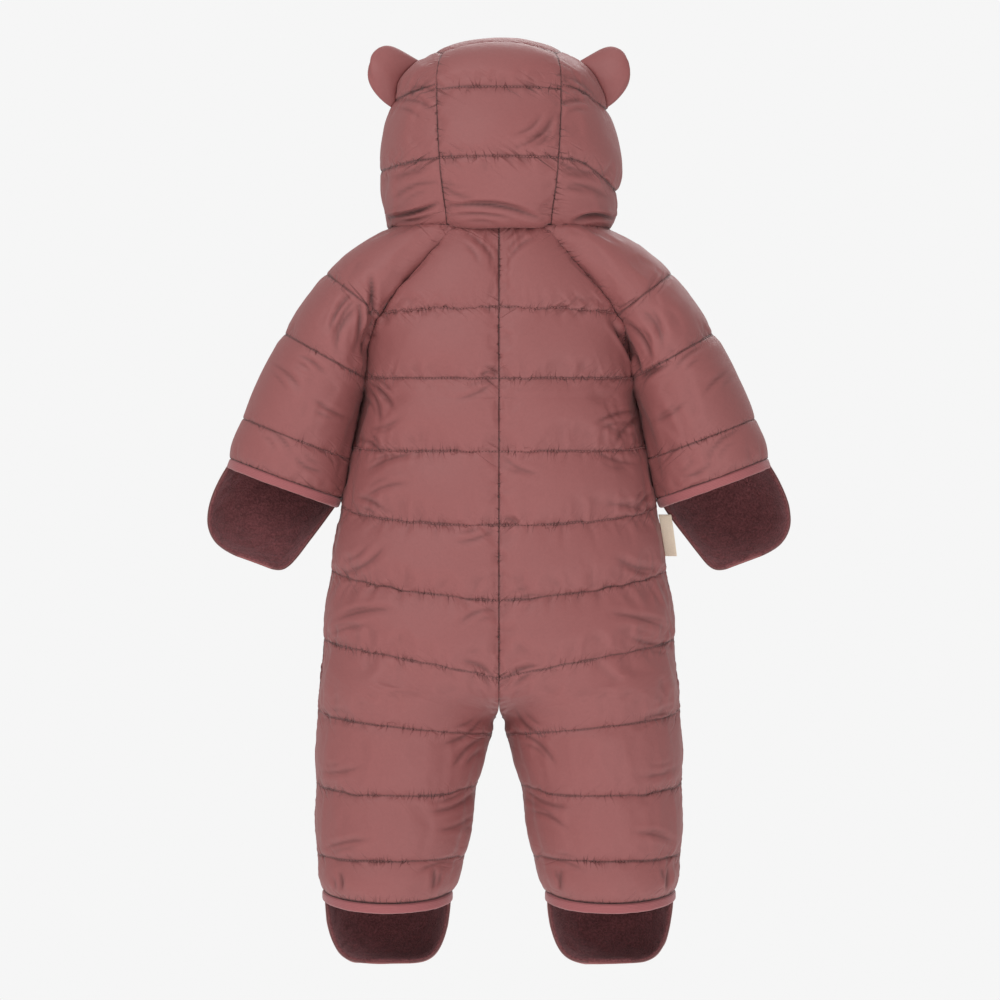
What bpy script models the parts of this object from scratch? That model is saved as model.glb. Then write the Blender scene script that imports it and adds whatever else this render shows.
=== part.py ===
"""Baby snowsuit: a padded one-piece with a hood, ears and fold-over mitts and feet, filled out as if worn.

The origin is the middle of the neck opening, in the plane of the neckline. +Z is up, +Y is the wearer's
front and +X the wearer's right. Tables and functions work in millimetres, and only make_object turns them
into metres. Every piece of cloth is a wall with a plain inner side. Its outer side stands SEAM_WALL off at
seams and quilt lines, and further between them, where the padding lies.

The tables hold inner sizes of the right half. The left half is its mirror image.
"""

import math
from collections import namedtuple

import bmesh
import bpy
from mathutils import Matrix, Vector

MM = 0.001
HALF_GAP = 0.15         # every piece stops this far from its seam line
SEAM_WALL = 3.0         # wall at a seam or a quilt line
BODY_LOFT = 6.0         # padding between quilt lines, added to the wall
SLEEVE_LOFT = 4.5
HOOD_LOFT = 6.5
LOFT_ROUNDING = 0.7     # below 1 a channel is flatter on top and steeper at its lines
EDGE_ROUNDING = 0.5
ARM_PRESS_ROWS = (1.2, 5.2)     # rows of BODY in which the arm presses the side flat
ARM_PRESS_SHARE = 0.45          # share of the panel's width that it presses
THIGH_PRESS_ROWS = (7.2, 9.6)   # the same between the legs
THIGH_PRESS_SHARE = 0.55

NECK_DEPTH = 57.0       # middle of the neck opening to the nape
NECK_TILT = 0.12        # fall of the neckline towards the front

BACK, FRONT = -1, 1
LEFT, RIGHT = -1, 1
SIDES = (("left", LEFT), ("right", RIGHT))

# One row for each quilt line or change of form, from neck to ankle. steps is the number of grid rows down to
# the next one. Down to the underarm the half width comes from the raglan seam. The middle drop is how far a
# line sags between side and centre, and the centre drop how far it falls at the centre seam or inseam.
BodyRow = namedtuple(
    "BodyRow", "name stitched steps side_z centre_drop middle_drop centre_x half_width half_depth")
BODY = (
    BodyRow("neck", True, 4, 0, 0, 0, 0, 0, NECK_DEPTH),
    BodyRow("shoulder line", True, 4, -77, -6, 0, 0, 0, 75),
    BodyRow("underarm line", True, 1, -132, 0, 0, 0, 115.5, 81),
    BodyRow("armpit", False, 3, -148, 1, 0, 0, 113.5, 82),
    BodyRow("rib line", True, 4, -191, 4, 0, 0, 121, 83),
    BodyRow("waist line", True, 4, -239, 19, 0, 2, 130, 85),
    BodyRow("hip line", True, 4, -295, 28, 0, 12, 129, 88),
    BodyRow("seat line", True, 3, -357, 32, 0, 40, 108, 88),
    BodyRow("crotch", False, 2, -388, 30, 0, 75, 75, 82),
    BodyRow("thigh line", True, 4, -416, 22, 0, 81, 72, 75),
    BodyRow("knee line", True, 4, -479, 0, 12, 88, 66.5, 67),
    BodyRow("shin line", True, 3, -541, 0, 6, 93, 60.5, 61),
    BodyRow("ankle", True, 0, -571, 0, 12, 96, 53, 55),
)
UNDERARM, CROTCH = 2, 8
BODY_COLUMNS = 7

# The sleeve's sections. Each runs from the raglan or underarm seam, over the top of the arm, and back.
SleeveRow = namedtuple("SleeveRow", "name stitched steps seam_x seam_y seam_z top_x top_z half_depth")
SLEEVE = (
    SleeveRow("neck", True, 4, 36, 55, 0, 92, 0, 55),
    SleeveRow("shoulder line", True, 4, 102, 42, -77, 146, -44, 60),
    SleeveRow("underarm line", True, 1, 115.5, 0, -132, 181.5, -95, 60),
    SleeveRow("armpit", False, 3, 122.5, 0, -150, 191, -111, 58),
    SleeveRow("elbow line", True, 4, 134, 0, -200, 217.5, -167.5, 52),
    SleeveRow("cuff", True, 0, 138.5, 0, -235, 229, -201.5, 45),
)
SLEEVE_COLUMNS = 14

# The hood's level sections, each an ellipse from the nape round to the face edge. The last row is the seam
# with the centre strip along the crown.
HoodRow = namedtuple(
    "HoodRow", "name stitched steps back_z side_z face_z seam_x half_width half_depth centre_y face_angle")
HOOD = (
    HoodRow("neck", True, 1, 0, 0, 0, 44, 91, NECK_DEPTH, 0, 170),
    HoodRow("slump", False, 3, 13, 11, 8, 45, 93.5, 72, -1, 152),
    HoodRow("nape line", True, 4, 57, 50, 52, 50, 98, 92, 0, 136),
    HoodRow("crown line", True, 4, 120, 108, 112, 52, 86, 85, 8, 130),
    HoodRow("crown seam", True, 0, 146, 147, 143, 48, 53, 100, 20, 118),
)
HOOD_COLUMNS = 8
STRIP_COLUMNS = 8
STRIP_RISE = 8.0        # the centre strip's arch over its seams, along the crown
STRIP_LEANS = (0, 0, 6, 42, 74)     # degrees the arch leans up from level, at each hood row
STRIP_FACE_LEAN = 96

# Ears: each row of the grid stands on one outer point of the hood's side panel.
EAR_COLUMN = 4          # hood column that the ears stand on
EAR_FIRST_ROW = 7
EAR_LAST_ROW = 11
EAR_HEIGHT = 36.0
EAR_TIP = 0.72          # place of the tip over the root, from its lower end
EAR_TIP_REACH = 0.97    # share of the outline that the grid covers, which leaves the tip a little width
EAR_SHOULDER = 2.2      # higher keeps the ear wide for longer
EAR_TAPER = 0.6         # lower makes its tip blunter
EAR_EDGE = 2.0          # half thickness at the ear's edge
EAR_STUFFING = 4.0      # added to it in the middle
EAR_STEPS = 5
EAR_GAP = 0.5

# Fold-over mitts and feet: the front half of a sleeve or leg, drawn out into a scoop.
SCOOP_TURN = 86.0       # degrees from the open end's rim to the tip; 90 would close it to a point
SCOOP_ROWS = 6
SHELL_WALL = 2.4
LINING_WALL = 2.4
Scoop = namedtuple("Scoop", "length roundness lean")
MITT = Scoop(length=76.0, roundness=0.4, lean=9.0)
FOOT = Scoop(length=63.5, roundness=0.38, lean=0.0)

BINDING_WIDTH = 8.5
BINDING_EXTRA = 0.9     # how far a binding stands out beyond each side of the wall
BINDING_BULGE = 0.6     # more wall along its middle
BINDING_THINNING = 0.8  # less along its edges

ZIP_END = 6.5           # place of the zip's lower end, in rows of BODY
ZIP_END_STEP = 0.05     # row distance in which the fronts close below it
ZIP_HALF_WIDTH = 5.5
CHAIN_HALF_WIDTH = 2.1
TAPE_WALL = 1.6
CHAIN_WALL = 2.8

SLIDER_PLACE = 0.42
SLIDER_WIDTH, SLIDER_HEIGHT, SLIDER_DEPTH = 8.0, 11.0, 3.4
SLIDER_BEVEL = 0.8
BRIDGE_WIDTH, BRIDGE_WALL = 2.2, 1.2
BRIDGE_REACH, BRIDGE_SPAN = 6.4, 6.4
BRIDGE_SINK = 1.0       # how far its feet stand in the slider
BRIDGE_STEPS = 8
TAB_WIDTH, TAB_HEIGHT, TAB_WALL = 7.0, 20.0, 1.4
TAB_WINDOW_WIDTH, TAB_WINDOW_HEIGHT = 3.6, 5.2
TAB_BAR = 1.5           # height of the bar that the tab hangs by
TAB_PLAY = 0.9          # between that bar and the bridge
TAB_SHOULDER = 0.62     # share of the tab's height down to its cut corners
TAB_CORNER = 2.0

LABEL_TOP = -249.0
LABEL_HEIGHT, LABEL_REACH, LABEL_WALL = 36.0, 11.0, 1.0
LABEL_GAP = 0.7
LABEL_Y = -1.4          # bent a little to the back, clear of the mitt

COLOURS = {
    "shell": ((0.33, 0.125, 0.12), 0.55, 0.0),
    "ears": ((0.33, 0.125, 0.12), 0.5, 0.0),
    "fleece": ((0.078, 0.027, 0.03), 0.95, 0.0),
    "binding": ((0.39, 0.13, 0.135), 0.6, 0.0),
    "label": ((0.72, 0.6, 0.47), 0.8, 0.0),
    "zip_tape": ((0.3, 0.11, 0.11), 0.8, 0.0),
    "zip_teeth": ((0.36, 0.15, 0.15), 0.4, 0.0),
    "zip_metal": ((0.55, 0.54, 0.52), 0.3, 1.0),
}


# ---------------------------------------------------------------- tables

def smooth_value(table, column, place):
    """A column's value at a place counted in rows, on a smooth curve through the table."""
    values = [getattr(row, column) for row in table]
    last = len(values) - 1
    index = min(max(int(place), 0), last - 1)
    step = place - index
    before, start, end, after = (values[min(max(index + n, 0), last)] for n in (-1, 0, 1, 2))
    slope_in = (end - before) / 2
    slope_out = (after - start) / 2
    rise = end - start
    return (start + slope_in * step + (3 * rise - 2 * slope_in - slope_out) * step ** 2
            + (slope_in + slope_out - 2 * rise) * step ** 3)


def row_places(table):
    """Places of all grid rows, from the table's steps."""
    places = []
    for index, row in enumerate(table[:-1]):
        places += [index + step / row.steps for step in range(row.steps)]
    return places + [len(table) - 1]


def channel_loft(table, place):
    """0 at a quilt line and 1 between two of them."""
    lines = [index for index, row in enumerate(table) if row.stitched]
    above = max(index for index in lines if index <= place)
    below = min(index for index in lines if index >= place)
    if above == below:
        return 0.0
    return math.sin(math.pi * (place - above) / (below - above)) ** LOFT_ROUNDING


def edge_loft(share):
    """0 at both side edges of a panel and 1 in its middle."""
    return max(math.sin(math.pi * min(max(share, 0.0), 1.0)), 0.0) ** EDGE_ROUNDING


def neck_fall(y, place):
    """The neckline's tilt, which fades out down to the first quilt line."""
    return -NECK_TILT * (y + NECK_DEPTH) * max(0.0, 1.0 - max(place, 0.0))


# ---------------------------------------------------------------- surfaces of the right half

def sleeve_section(place):
    """Centre, direction to the top of the arm, half width, half depth and half arc of a sleeve section."""
    seam_x, seam_y, seam_z, top_x, top_z, half_depth = (
        smooth_value(SLEEVE, column, place)
        for column in ("seam_x", "seam_y", "seam_z", "top_x", "top_z", "half_depth"))
    if place >= UNDERARM:
        seam_y = 0.0
    across = Vector((top_x - seam_x, 0, top_z - seam_z))
    cosine = -math.sqrt(max(0.0, 1 - (seam_y / half_depth) ** 2))
    half_width = across.length / (1 - cosine)
    upward = across.normalized()
    centre = Vector((top_x, 0, top_z)) - upward * half_width
    return centre, upward, half_width, half_depth, math.acos(cosine)


def sleeve_point(share, place):
    """share runs from -1 at the back seam, over the top of the arm, to 1 at the front seam."""
    centre, upward, half_width, half_depth, half_arc = sleeve_section(place)
    angle = share * half_arc
    point = centre + upward * half_width * math.cos(angle)
    point.y += half_depth * math.sin(angle)
    point.z += neck_fall(point.y, place)
    return point


def body_point(face, share, place):
    """share runs from 0 at the centre seam or inseam to 1 at the raglan or side seam."""
    half_depth = smooth_value(BODY, "half_depth", place)
    centre_drop = smooth_value(BODY, "centre_drop", place)
    if place < UNDERARM:
        seam = sleeve_point(face, place)
        seam_z = seam.z - neck_fall(seam.y, place)
        sine = min(abs(seam.y) / half_depth, 0.999)
        half_width = seam.x / math.sqrt(1 - sine ** 2)
        edge_angle = math.asin(sine)
        angle = math.pi / 2 - share * (math.pi / 2 - edge_angle)
        x = half_width * math.cos(angle)
        level = seam_z
    else:
        centre_x = smooth_value(BODY, "centre_x", place)
        half_width = smooth_value(BODY, "half_width", place)
        if place >= CROTCH:
            full_angle = math.pi
        else:
            full_angle = math.acos(max(-1.0, -centre_x / half_width))
        angle = full_angle * (1 - share)
        x = centre_x + half_width * math.cos(angle)
        level = smooth_value(BODY, "side_z", place)
    y = face * half_depth * math.sin(angle)
    to_centre = 1 - share
    z = (level - centre_drop * to_centre ** 2
         - smooth_value(BODY, "middle_drop", place) * math.sin(math.pi * to_centre))
    return Vector((x, y, z + neck_fall(y, place)))


def hood_point(share, place):
    """share runs from 0 at the seam with the centre strip to 1 at the face edge."""
    half_width = smooth_value(HOOD, "half_width", place)
    seam_angle = math.asin(min(smooth_value(HOOD, "seam_x", place) / half_width, 1.0))
    face_angle = math.radians(smooth_value(HOOD, "face_angle", place))
    angle = seam_angle + (face_angle - seam_angle) * share
    x = half_width * math.sin(angle)
    y = smooth_value(HOOD, "centre_y", place) - smooth_value(HOOD, "half_depth", place) * math.cos(angle)
    back_z, side_z, face_z = (
        smooth_value(HOOD, column, place) for column in ("back_z", "side_z", "face_z"))
    middle = 4 * share * (1 - share)
    z = back_z + (face_z - back_z) * share + (side_z - (back_z + face_z) / 2) * middle
    return Vector((x, y, z + neck_fall(y, place)))


def surface_normal(surface, share, place, last_place):
    """Unit normal from small steps to both sides, pointing either way."""
    small = 0.01
    across = surface(share + small, place) - surface(share - small, place)
    along = surface(share, min(place + small, last_place)) - surface(share, max(place - small, 0.0))
    return across.cross(along).normalized()


def facing(normal, direction):
    """The normal, turned to the direction's side."""
    return normal if normal.dot(direction) >= 0 else -normal


def body_normal(face, share, place):
    centre = Vector((smooth_value(BODY, "centre_x", place), 0, 0))
    point = body_point(face, share, place)
    outward = Vector((point.x - centre.x, point.y, 0))
    return facing(surface_normal(lambda a, b: body_point(face, a, b), share, place, len(BODY) - 1), outward)


def sleeve_normal(share, place):
    centre = sleeve_section(place)[0]
    return facing(
        surface_normal(sleeve_point, share, place, len(SLEEVE) - 1), sleeve_point(share, place) - centre)


def hood_normal(share, place):
    point = hood_point(share, place)
    return facing(
        surface_normal(hood_point, share, place, len(HOOD) - 1), Vector((point.x, point.y, 0)))


def in_neck_plane(direction):
    """The direction, turned into the plane of the neckline."""
    return Vector((direction.x, direction.y, -NECK_TILT * direction.y)).normalized()


def raglan_out(face, place):
    """Direction of the seam between body and sleeve, halfway between both normals."""
    together = body_normal(face, 1.0, place) + sleeve_normal(face, place)
    if place == 0:
        return in_neck_plane(together)
    if place >= UNDERARM:
        return Vector((0, 0, -1))
    return together.normalized()


# ---------------------------------------------------------------- walls

class Wall:
    """A grid of inner points with their outward directions and thicknesses, rows by columns."""

    def __init__(self, inner, outs, thickness):
        self.inner = inner
        self.outs = outs
        self.thickness = thickness

    def outer(self, row, column):
        return self.inner[row][column] + self.outs[row][column] * self.thickness[row][column]

    def outer_points(self):
        return [[self.outer(row, column) for column in range(len(line))]
                for row, line in enumerate(self.inner)]


def pull_edge(points, outs, edge, amount):
    """Move one edge of a grid into the grid, square to the edge and to the wall's direction.

    edge is "first_column", "last_column", "first_row" or "last_row", and amount a function of the place
    along the edge.
    """
    last_row, last_column = len(points) - 1, len(points[0]) - 1
    lines = {
        "first_column": [((row, 0), (row, 1)) for row in range(last_row + 1)],
        "last_column": [((row, last_column), (row, last_column - 1)) for row in range(last_row + 1)],
        "first_row": [((0, column), (1, column)) for column in range(last_column + 1)],
        "last_row": [((last_row, column), (last_row - 1, column)) for column in range(last_column + 1)],
    }
    line = lines[edge]
    edge_points = [points[row][column].copy() for (row, column), _ in line]
    for index, ((row, column), (next_row, next_column)) in enumerate(line):
        before = edge_points[max(index - 1, 0)]
        after = edge_points[min(index + 1, len(line) - 1)]
        inward = (after - before).cross(outs[row][column]).normalized()
        inward = facing(inward, points[next_row][next_column] - edge_points[index])
        points[row][column] = points[row][column] + inward * amount(index)


def half_gap(_):
    return HALF_GAP


def grid_mesh(name, inner, outer):
    """A closed wall between two grids of points."""
    rows, columns = len(inner) - 1, len(inner[0]) - 1
    shell = bmesh.new()
    bmesh.ops.create_grid(shell, x_segments=columns, y_segments=rows, size=1.0)

    def grid_place(vert):
        row = round((vert.co.y + 1) / 2 * rows)
        column = round((vert.co.x + 1) / 2 * columns)
        return row, column

    inner_verts = {vert: grid_place(vert) for vert in shell.verts}
    made = bmesh.ops.extrude_face_region(shell, geom=list(shell.faces), use_keep_orig=True)
    outer_verts = {
        vert: grid_place(vert) for vert in made["geom"] if isinstance(vert, bmesh.types.BMVert)}
    for verts, points in ((inner_verts, inner), (outer_verts, outer)):
        for vert, (row, column) in verts.items():
            vert.co = points[row][column] * MM
    bmesh.ops.recalc_face_normals(shell, faces=shell.faces)
    if shell.calc_volume(signed=True) < 0:
        bmesh.ops.reverse_faces(shell, faces=shell.faces)
    mesh = bpy.data.meshes.new(name)
    shell.to_mesh(mesh)
    shell.free()
    return mesh


def make_material(slot):
    colour, roughness, metallic = COLOURS[slot]
    material = bpy.data.materials.get(slot) or bpy.data.materials.new(slot)
    material.use_nodes = True
    shader = material.node_tree.nodes["Principled BSDF"]
    shader.inputs["Base Color"].default_value = (*colour, 1.0)
    shader.inputs["Roughness"].default_value = roughness
    shader.inputs["Metallic"].default_value = metallic
    material.diffuse_color = (*colour, 1.0)
    return material


def make_object(name, mesh, slot):
    mesh.materials.append(make_material(slot))
    mesh.shade_smooth()
    made = bpy.data.objects.new(name, mesh)
    bpy.context.collection.objects.link(made)
    return made


def mirrored(points, side):
    """The right half's points, or their mirror image."""
    return [[Vector((side * point.x, point.y, point.z)) for point in line] for line in points]


def make_wall(name, wall, side, slot):
    mesh = grid_mesh(name, mirrored(wall.inner, side), mirrored(wall.outer_points(), side))
    return make_object(name, mesh, slot)


# ---------------------------------------------------------------- body

def body_places():
    """Grid rows of the body, with one more where the fronts close below the zip."""
    return sorted(row_places(BODY) + [ZIP_END + ZIP_END_STEP])


def centre_out(face, place):
    """Direction of the centre seam, square to its run in the plane between the halves."""
    small = 0.02
    if place >= CROTCH:
        return Vector((0, 0, -1))
    above = body_point(face, 0.0, max(place - small, 0.0))
    below = body_point(face, 0.0, place + small)
    run = below - above
    across = Vector((0, run.z, -run.y)).normalized()
    return facing(across, Vector((0, face, 0)))


def body_out(face, share, place):
    if share == 1.0 and place <= UNDERARM:
        return raglan_out(face, place)
    if share == 0.0 and 0 < place <= CROTCH:
        return centre_out(face, place)
    if share == 0.0 and place > CROTCH:
        normal = body_normal(face, share, place)
        return Vector((normal.x, 0, normal.z)).normalized()
    normal = body_normal(face, share, place)
    if place == 0:
        return Vector((0, face, -NECK_TILT * face)).normalized() if share == 0.0 else in_neck_plane(normal)
    if share == 1.0:
        return Vector((normal.x, 0, normal.z)).normalized()
    return normal


def body_wall_thickness(face, share, place):
    """The padding is pressed flat where the sleeve hangs against the side and where the legs meet."""
    loft = BODY_LOFT * channel_loft(BODY, place) * edge_loft(share)
    if ARM_PRESS_ROWS[0] < place < ARM_PRESS_ROWS[1]:
        loft *= min(1.0, (1 - share) / ARM_PRESS_SHARE)
    if THIGH_PRESS_ROWS[0] < place < THIGH_PRESS_ROWS[1]:
        loft *= min(1.0, share / THIGH_PRESS_SHARE)
    return SEAM_WALL + loft


def body_wall(face):
    places = body_places()
    shares = [column / BODY_COLUMNS for column in range(BODY_COLUMNS + 1)]
    inner = [[body_point(face, share, place) for share in shares] for place in places]
    outs = [[body_out(face, share, place) for share in shares] for place in places]
    thickness = [[body_wall_thickness(face, share, place) for share in shares] for place in places]

    def centre_pull(index):
        zipped = face == FRONT and places[index] <= ZIP_END
        return ZIP_HALF_WIDTH if zipped else HALF_GAP

    pull_edge(inner, outs, "first_row", half_gap)
    pull_edge(inner, outs, "last_column", half_gap)
    pull_edge(inner, outs, "first_column", centre_pull)
    for row, place in enumerate(places):
        if place == CROTCH:
            inner[row][0] += Vector((0, face * HALF_GAP, 0))
        if place == UNDERARM:
            inner[row][-1] += Vector((0, face * HALF_GAP, 0))
    return Wall(inner, outs, thickness)


# ---------------------------------------------------------------- sleeves

def sleeve_out(share, place):
    if abs(share) == 1.0 and place <= UNDERARM:
        return raglan_out(int(share), place)
    normal = sleeve_normal(share, place)
    if place == 0:
        return in_neck_plane(normal)
    if abs(share) == 1.0:
        return Vector((normal.x, 0, normal.z)).normalized()
    return normal


def sleeve_wall_thickness(share, place):
    """The padding is pressed flat on the side towards the body."""
    loft = SLEEVE_LOFT * channel_loft(SLEEVE, place) * edge_loft((share + 1) / 2)
    if place > ARM_PRESS_ROWS[0]:
        loft *= min(1.0, (1 - abs(share)) / ARM_PRESS_SHARE)
    return SEAM_WALL + loft


def sleeve_wall():
    places = row_places(SLEEVE)
    shares = [2 * column / SLEEVE_COLUMNS - 1 for column in range(SLEEVE_COLUMNS + 1)]
    inner = [[sleeve_point(share, place) for share in shares] for place in places]
    outs = [[sleeve_out(share, place) for share in shares] for place in places]
    thickness = [[sleeve_wall_thickness(share, place) for share in shares] for place in places]
    pull_edge(inner, outs, "first_row", half_gap)
    pull_edge(inner, outs, "first_column", half_gap)
    pull_edge(inner, outs, "last_column", half_gap)
    underarm_row = places.index(UNDERARM)
    inner[underarm_row][0] += Vector((0, -HALF_GAP, 0))
    inner[underarm_row][-1] += Vector((0, HALF_GAP, 0))
    return Wall(inner, outs, thickness)


# ---------------------------------------------------------------- hood

def strip_seam(step, places, shares):
    """Point, arch lean and arch rise at one row of the centre strip, up the back and on along the crown."""
    if step < len(places):
        place = places[step]
        index = min(int(place), len(HOOD) - 2)
        lean = STRIP_LEANS[index] + (STRIP_LEANS[index + 1] - STRIP_LEANS[index]) * (place - index)
        half_width = smooth_value(HOOD, "half_width", place)
        seam_x = smooth_value(HOOD, "seam_x", place)
        rise = smooth_value(HOOD, "half_depth", place) * (1 - math.sqrt(1 - (seam_x / half_width) ** 2))
        return hood_point(0.0, place), lean, min(rise, STRIP_RISE)
    share = shares[step - len(places) + 1]
    lean = STRIP_LEANS[-1] + (STRIP_FACE_LEAN - STRIP_LEANS[-1]) * share
    return hood_point(share, len(HOOD) - 1), lean, STRIP_RISE


def hood_grid():
    places = row_places(HOOD)
    shares = [column / HOOD_COLUMNS for column in range(HOOD_COLUMNS + 1)]
    return places, shares


def strip_point(across, step, places, shares):
    """across runs from -1 at the left seam to 1 at the right seam."""
    seam, lean, rise = strip_seam(step, places, shares)
    arch = rise * (1 - across ** 2)
    direction = Vector((0, -math.cos(math.radians(lean)), math.sin(math.radians(lean))))
    point = Vector((seam.x * across, seam.y, seam.z)) + direction * arch
    if step == 0:
        point.z = neck_fall(point.y, 0)
    return point


def strip_out(across, step, places, shares):
    last = len(places) + len(shares) - 2
    small = 0.01
    here = strip_point(across, step, places, shares)
    above = strip_point(across, min(step + 1, last), places, shares)
    below = strip_point(across, max(step - 1, 0), places, shares)
    beside = strip_point(across + small, step, places, shares)
    lean = strip_seam(step, places, shares)[1]
    outward = Vector((0, -math.cos(math.radians(lean)), math.sin(math.radians(lean))))
    return facing((beside - here).cross(above - below).normalized(), outward)


def crown_seam_out(step, places, shares):
    """Direction of the seam between strip and side panel, halfway between both."""
    if step < len(places):
        side = hood_normal(0.0, places[step])
    else:
        side = hood_normal(shares[step - len(places) + 1], len(HOOD) - 1)
    together = strip_out(1.0, step, places, shares) + side
    return in_neck_plane(together) if step == 0 else together.normalized()


def strip_loft(step, places, shares):
    if step < len(places):
        return channel_loft(HOOD, places[step])
    return math.sin(math.pi * shares[step - len(places) + 1]) ** LOFT_ROUNDING


def hood_centre_wall():
    places, shares = hood_grid()
    steps = range(len(places) + len(shares) - 1)
    acrosses = [2 * column / STRIP_COLUMNS - 1 for column in range(STRIP_COLUMNS + 1)]
    inner, outs, thickness = [], [], []
    for step in steps:
        seam_out = crown_seam_out(step, places, shares)
        inner.append([strip_point(across, step, places, shares) for across in acrosses])
        line = []
        for across in acrosses:
            if abs(across) == 1.0:
                line.append(Vector((seam_out.x * across, seam_out.y, seam_out.z)))
            elif step == 0:
                line.append(in_neck_plane(strip_out(across, step, places, shares)))
            else:
                line.append(strip_out(across, step, places, shares))
        outs.append(line)
        loft = HOOD_LOFT * strip_loft(step, places, shares)
        thickness.append([SEAM_WALL + loft * edge_loft((across + 1) / 2) for across in acrosses])
    pull_edge(inner, outs, "first_row", half_gap)
    pull_edge(inner, outs, "first_column", half_gap)
    pull_edge(inner, outs, "last_column", half_gap)
    return Wall(inner, outs, thickness)


def hood_side_wall():
    places, shares = hood_grid()
    last = len(HOOD) - 1
    inner = [[hood_point(share, place) for share in shares] for place in places]
    outs = []
    for step, place in enumerate(places):
        line = []
        for column, share in enumerate(shares):
            if share == 0.0:
                line.append(crown_seam_out(step, places, shares))
            elif place == last:
                line.append(crown_seam_out(len(places) - 1 + column, places, shares))
            elif place == 0:
                line.append(in_neck_plane(hood_normal(share, place)))
            else:
                line.append(hood_normal(share, place))
        outs.append(line)
    thickness = [
        [SEAM_WALL + HOOD_LOFT * channel_loft(HOOD, place) * edge_loft(share) for share in shares]
        for place in places]
    pull_edge(inner, outs, "first_row", half_gap)
    pull_edge(inner, outs, "last_row", half_gap)
    pull_edge(inner, outs, "first_column", half_gap)
    return Wall(inner, outs, thickness)


def ear_grids(hood_side):
    """Back and front grids of one ear. It stands on the side panel's outer points, moved out."""
    rows = range(EAR_FIRST_ROW, EAR_LAST_ROW + 1)
    root = [hood_side.outer(row, EAR_COLUMN) + hood_side.outs[row][EAR_COLUMN] * EAR_GAP for row in rows]
    span = root[-1] - root[0]
    outward = Vector((-span.z, 0, span.x)).normalized()
    outward = facing(outward, Vector((1, 0, 1)))
    middle = root[0].lerp(root[-1], EAR_TIP)
    back, front = [], []
    for step in range(EAR_STEPS + 1):
        reach = step / EAR_STEPS
        narrowing = (1 - (EAR_TIP_REACH * reach) ** EAR_SHOULDER) ** EAR_TAPER
        back_line, front_line = [], []
        for index, foot in enumerate(root):
            along = 2 * index / (len(root) - 1) - 1
            centre = foot.lerp(middle + (foot - middle) * narrowing, reach) + outward * EAR_HEIGHT * reach
            plump = EAR_STUFFING * math.sin(math.pi * reach) * (1 - along ** 2)
            half_wall = EAR_EDGE + plump
            back_line.append(centre - Vector((0, half_wall, 0)))
            front_line.append(centre + Vector((0, half_wall, 0)))
        back.append(back_line)
        front.append(front_line)
    return back, front


# ---------------------------------------------------------------- mitts, feet and bindings

def scoop_walls(rim, rim_outs, centre, upward, downward, scoop):
    """Shell and lining of a fold-over end. The rim is the front half of the tube's end row."""
    shell_inner, shell_outs = [], []
    for row in range(SCOOP_ROWS + 1):
        turn = math.radians(SCOOP_TURN) * row / SCOOP_ROWS
        narrowing = math.cos(turn) ** scoop.roundness
        line = []
        for point in rim:
            offset = point - centre
            across = offset.dot(upward)
            along = offset.dot(downward)
            line.append(
                centre + upward * (across * narrowing + scoop.lean * math.sin(2 * turn))
                + Vector((0, offset.y * math.cos(turn), 0))
                + downward * (along * math.cos(turn) + scoop.length * math.sin(turn)))
        shell_inner.append(line)
    last_row, last_column = SCOOP_ROWS, len(rim) - 1
    for row in range(SCOOP_ROWS + 1):
        line = []
        for column in range(last_column + 1):
            if row == 0:
                line.append(rim_outs[column])
                continue
            along = shell_inner[min(row + 1, last_row)][column] - shell_inner[row - 1][column]
            across = (shell_inner[row][min(column + 1, last_column)]
                      - shell_inner[row][max(column - 1, 0)])
            normal = facing(along.cross(across), Vector((0, 1, 0)) + downward)
            if column in (0, last_column):
                normal.y = 0
            line.append(normal.normalized())
        shell_outs.append(line)
    shell_wall = [[SHELL_WALL] * (last_column + 1) for _ in shell_inner]
    shell = Wall(shell_inner, shell_outs, shell_wall)
    lining_wall = [[-LINING_WALL] * (last_column + 1) for _ in shell_inner]
    lining_inner = [
        [point - out * 2 * HALF_GAP for point, out in zip(line, outs)]
        for line, outs in zip(shell_inner, shell_outs)]
    return shell, Wall(lining_inner, shell_outs, lining_wall)


def moved(points, offset):
    return [point + offset for point in points]


def binding_wall(edge, outs, downward):
    """A band below the open edge of a tube, wider than the wall on both sides."""
    top = moved(edge, downward * 2 * HALF_GAP)
    bottom = moved(edge, downward * (2 * HALF_GAP + BINDING_WIDTH))
    inner = [[point - out * BINDING_EXTRA for point, out in zip(line, outs)] for line in (top, bottom)]
    middle = [(first + second) / 2 for first, second in zip(*inner)]
    inner.insert(1, middle)
    band = SEAM_WALL + 2 * BINDING_EXTRA
    changes = (-BINDING_THINNING, BINDING_BULGE, -BINDING_THINNING)
    thickness = [[band + change] * len(edge) for change in changes]
    return Wall(inner, [outs, outs, outs], thickness)


def leg_end(body):
    """End row of one face of a leg, its directions, and the frame of the opening."""
    row = BODY[-1]
    centre = Vector((row.centre_x, 0, row.side_z))
    return body.inner[-1], body.outs[-1], centre, Vector((1, 0, 0)), Vector((0, 0, -1))


def sleeve_end(sleeve, face):
    """The same of one face of a sleeve. Its columns run from the back seam to the front seam."""
    middle = SLEEVE_COLUMNS // 2
    if face == BACK:
        columns = slice(0, middle + 1)
    else:
        columns = slice(middle, SLEEVE_COLUMNS + 1)
    centre, upward = sleeve_section(len(SLEEVE) - 1)[:2]
    downward = Vector((-upward.z, 0, upward.x))
    if downward.z > 0:
        downward = -downward
    return sleeve.inner[-1][columns], sleeve.outs[-1][columns], centre, upward, downward


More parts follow.
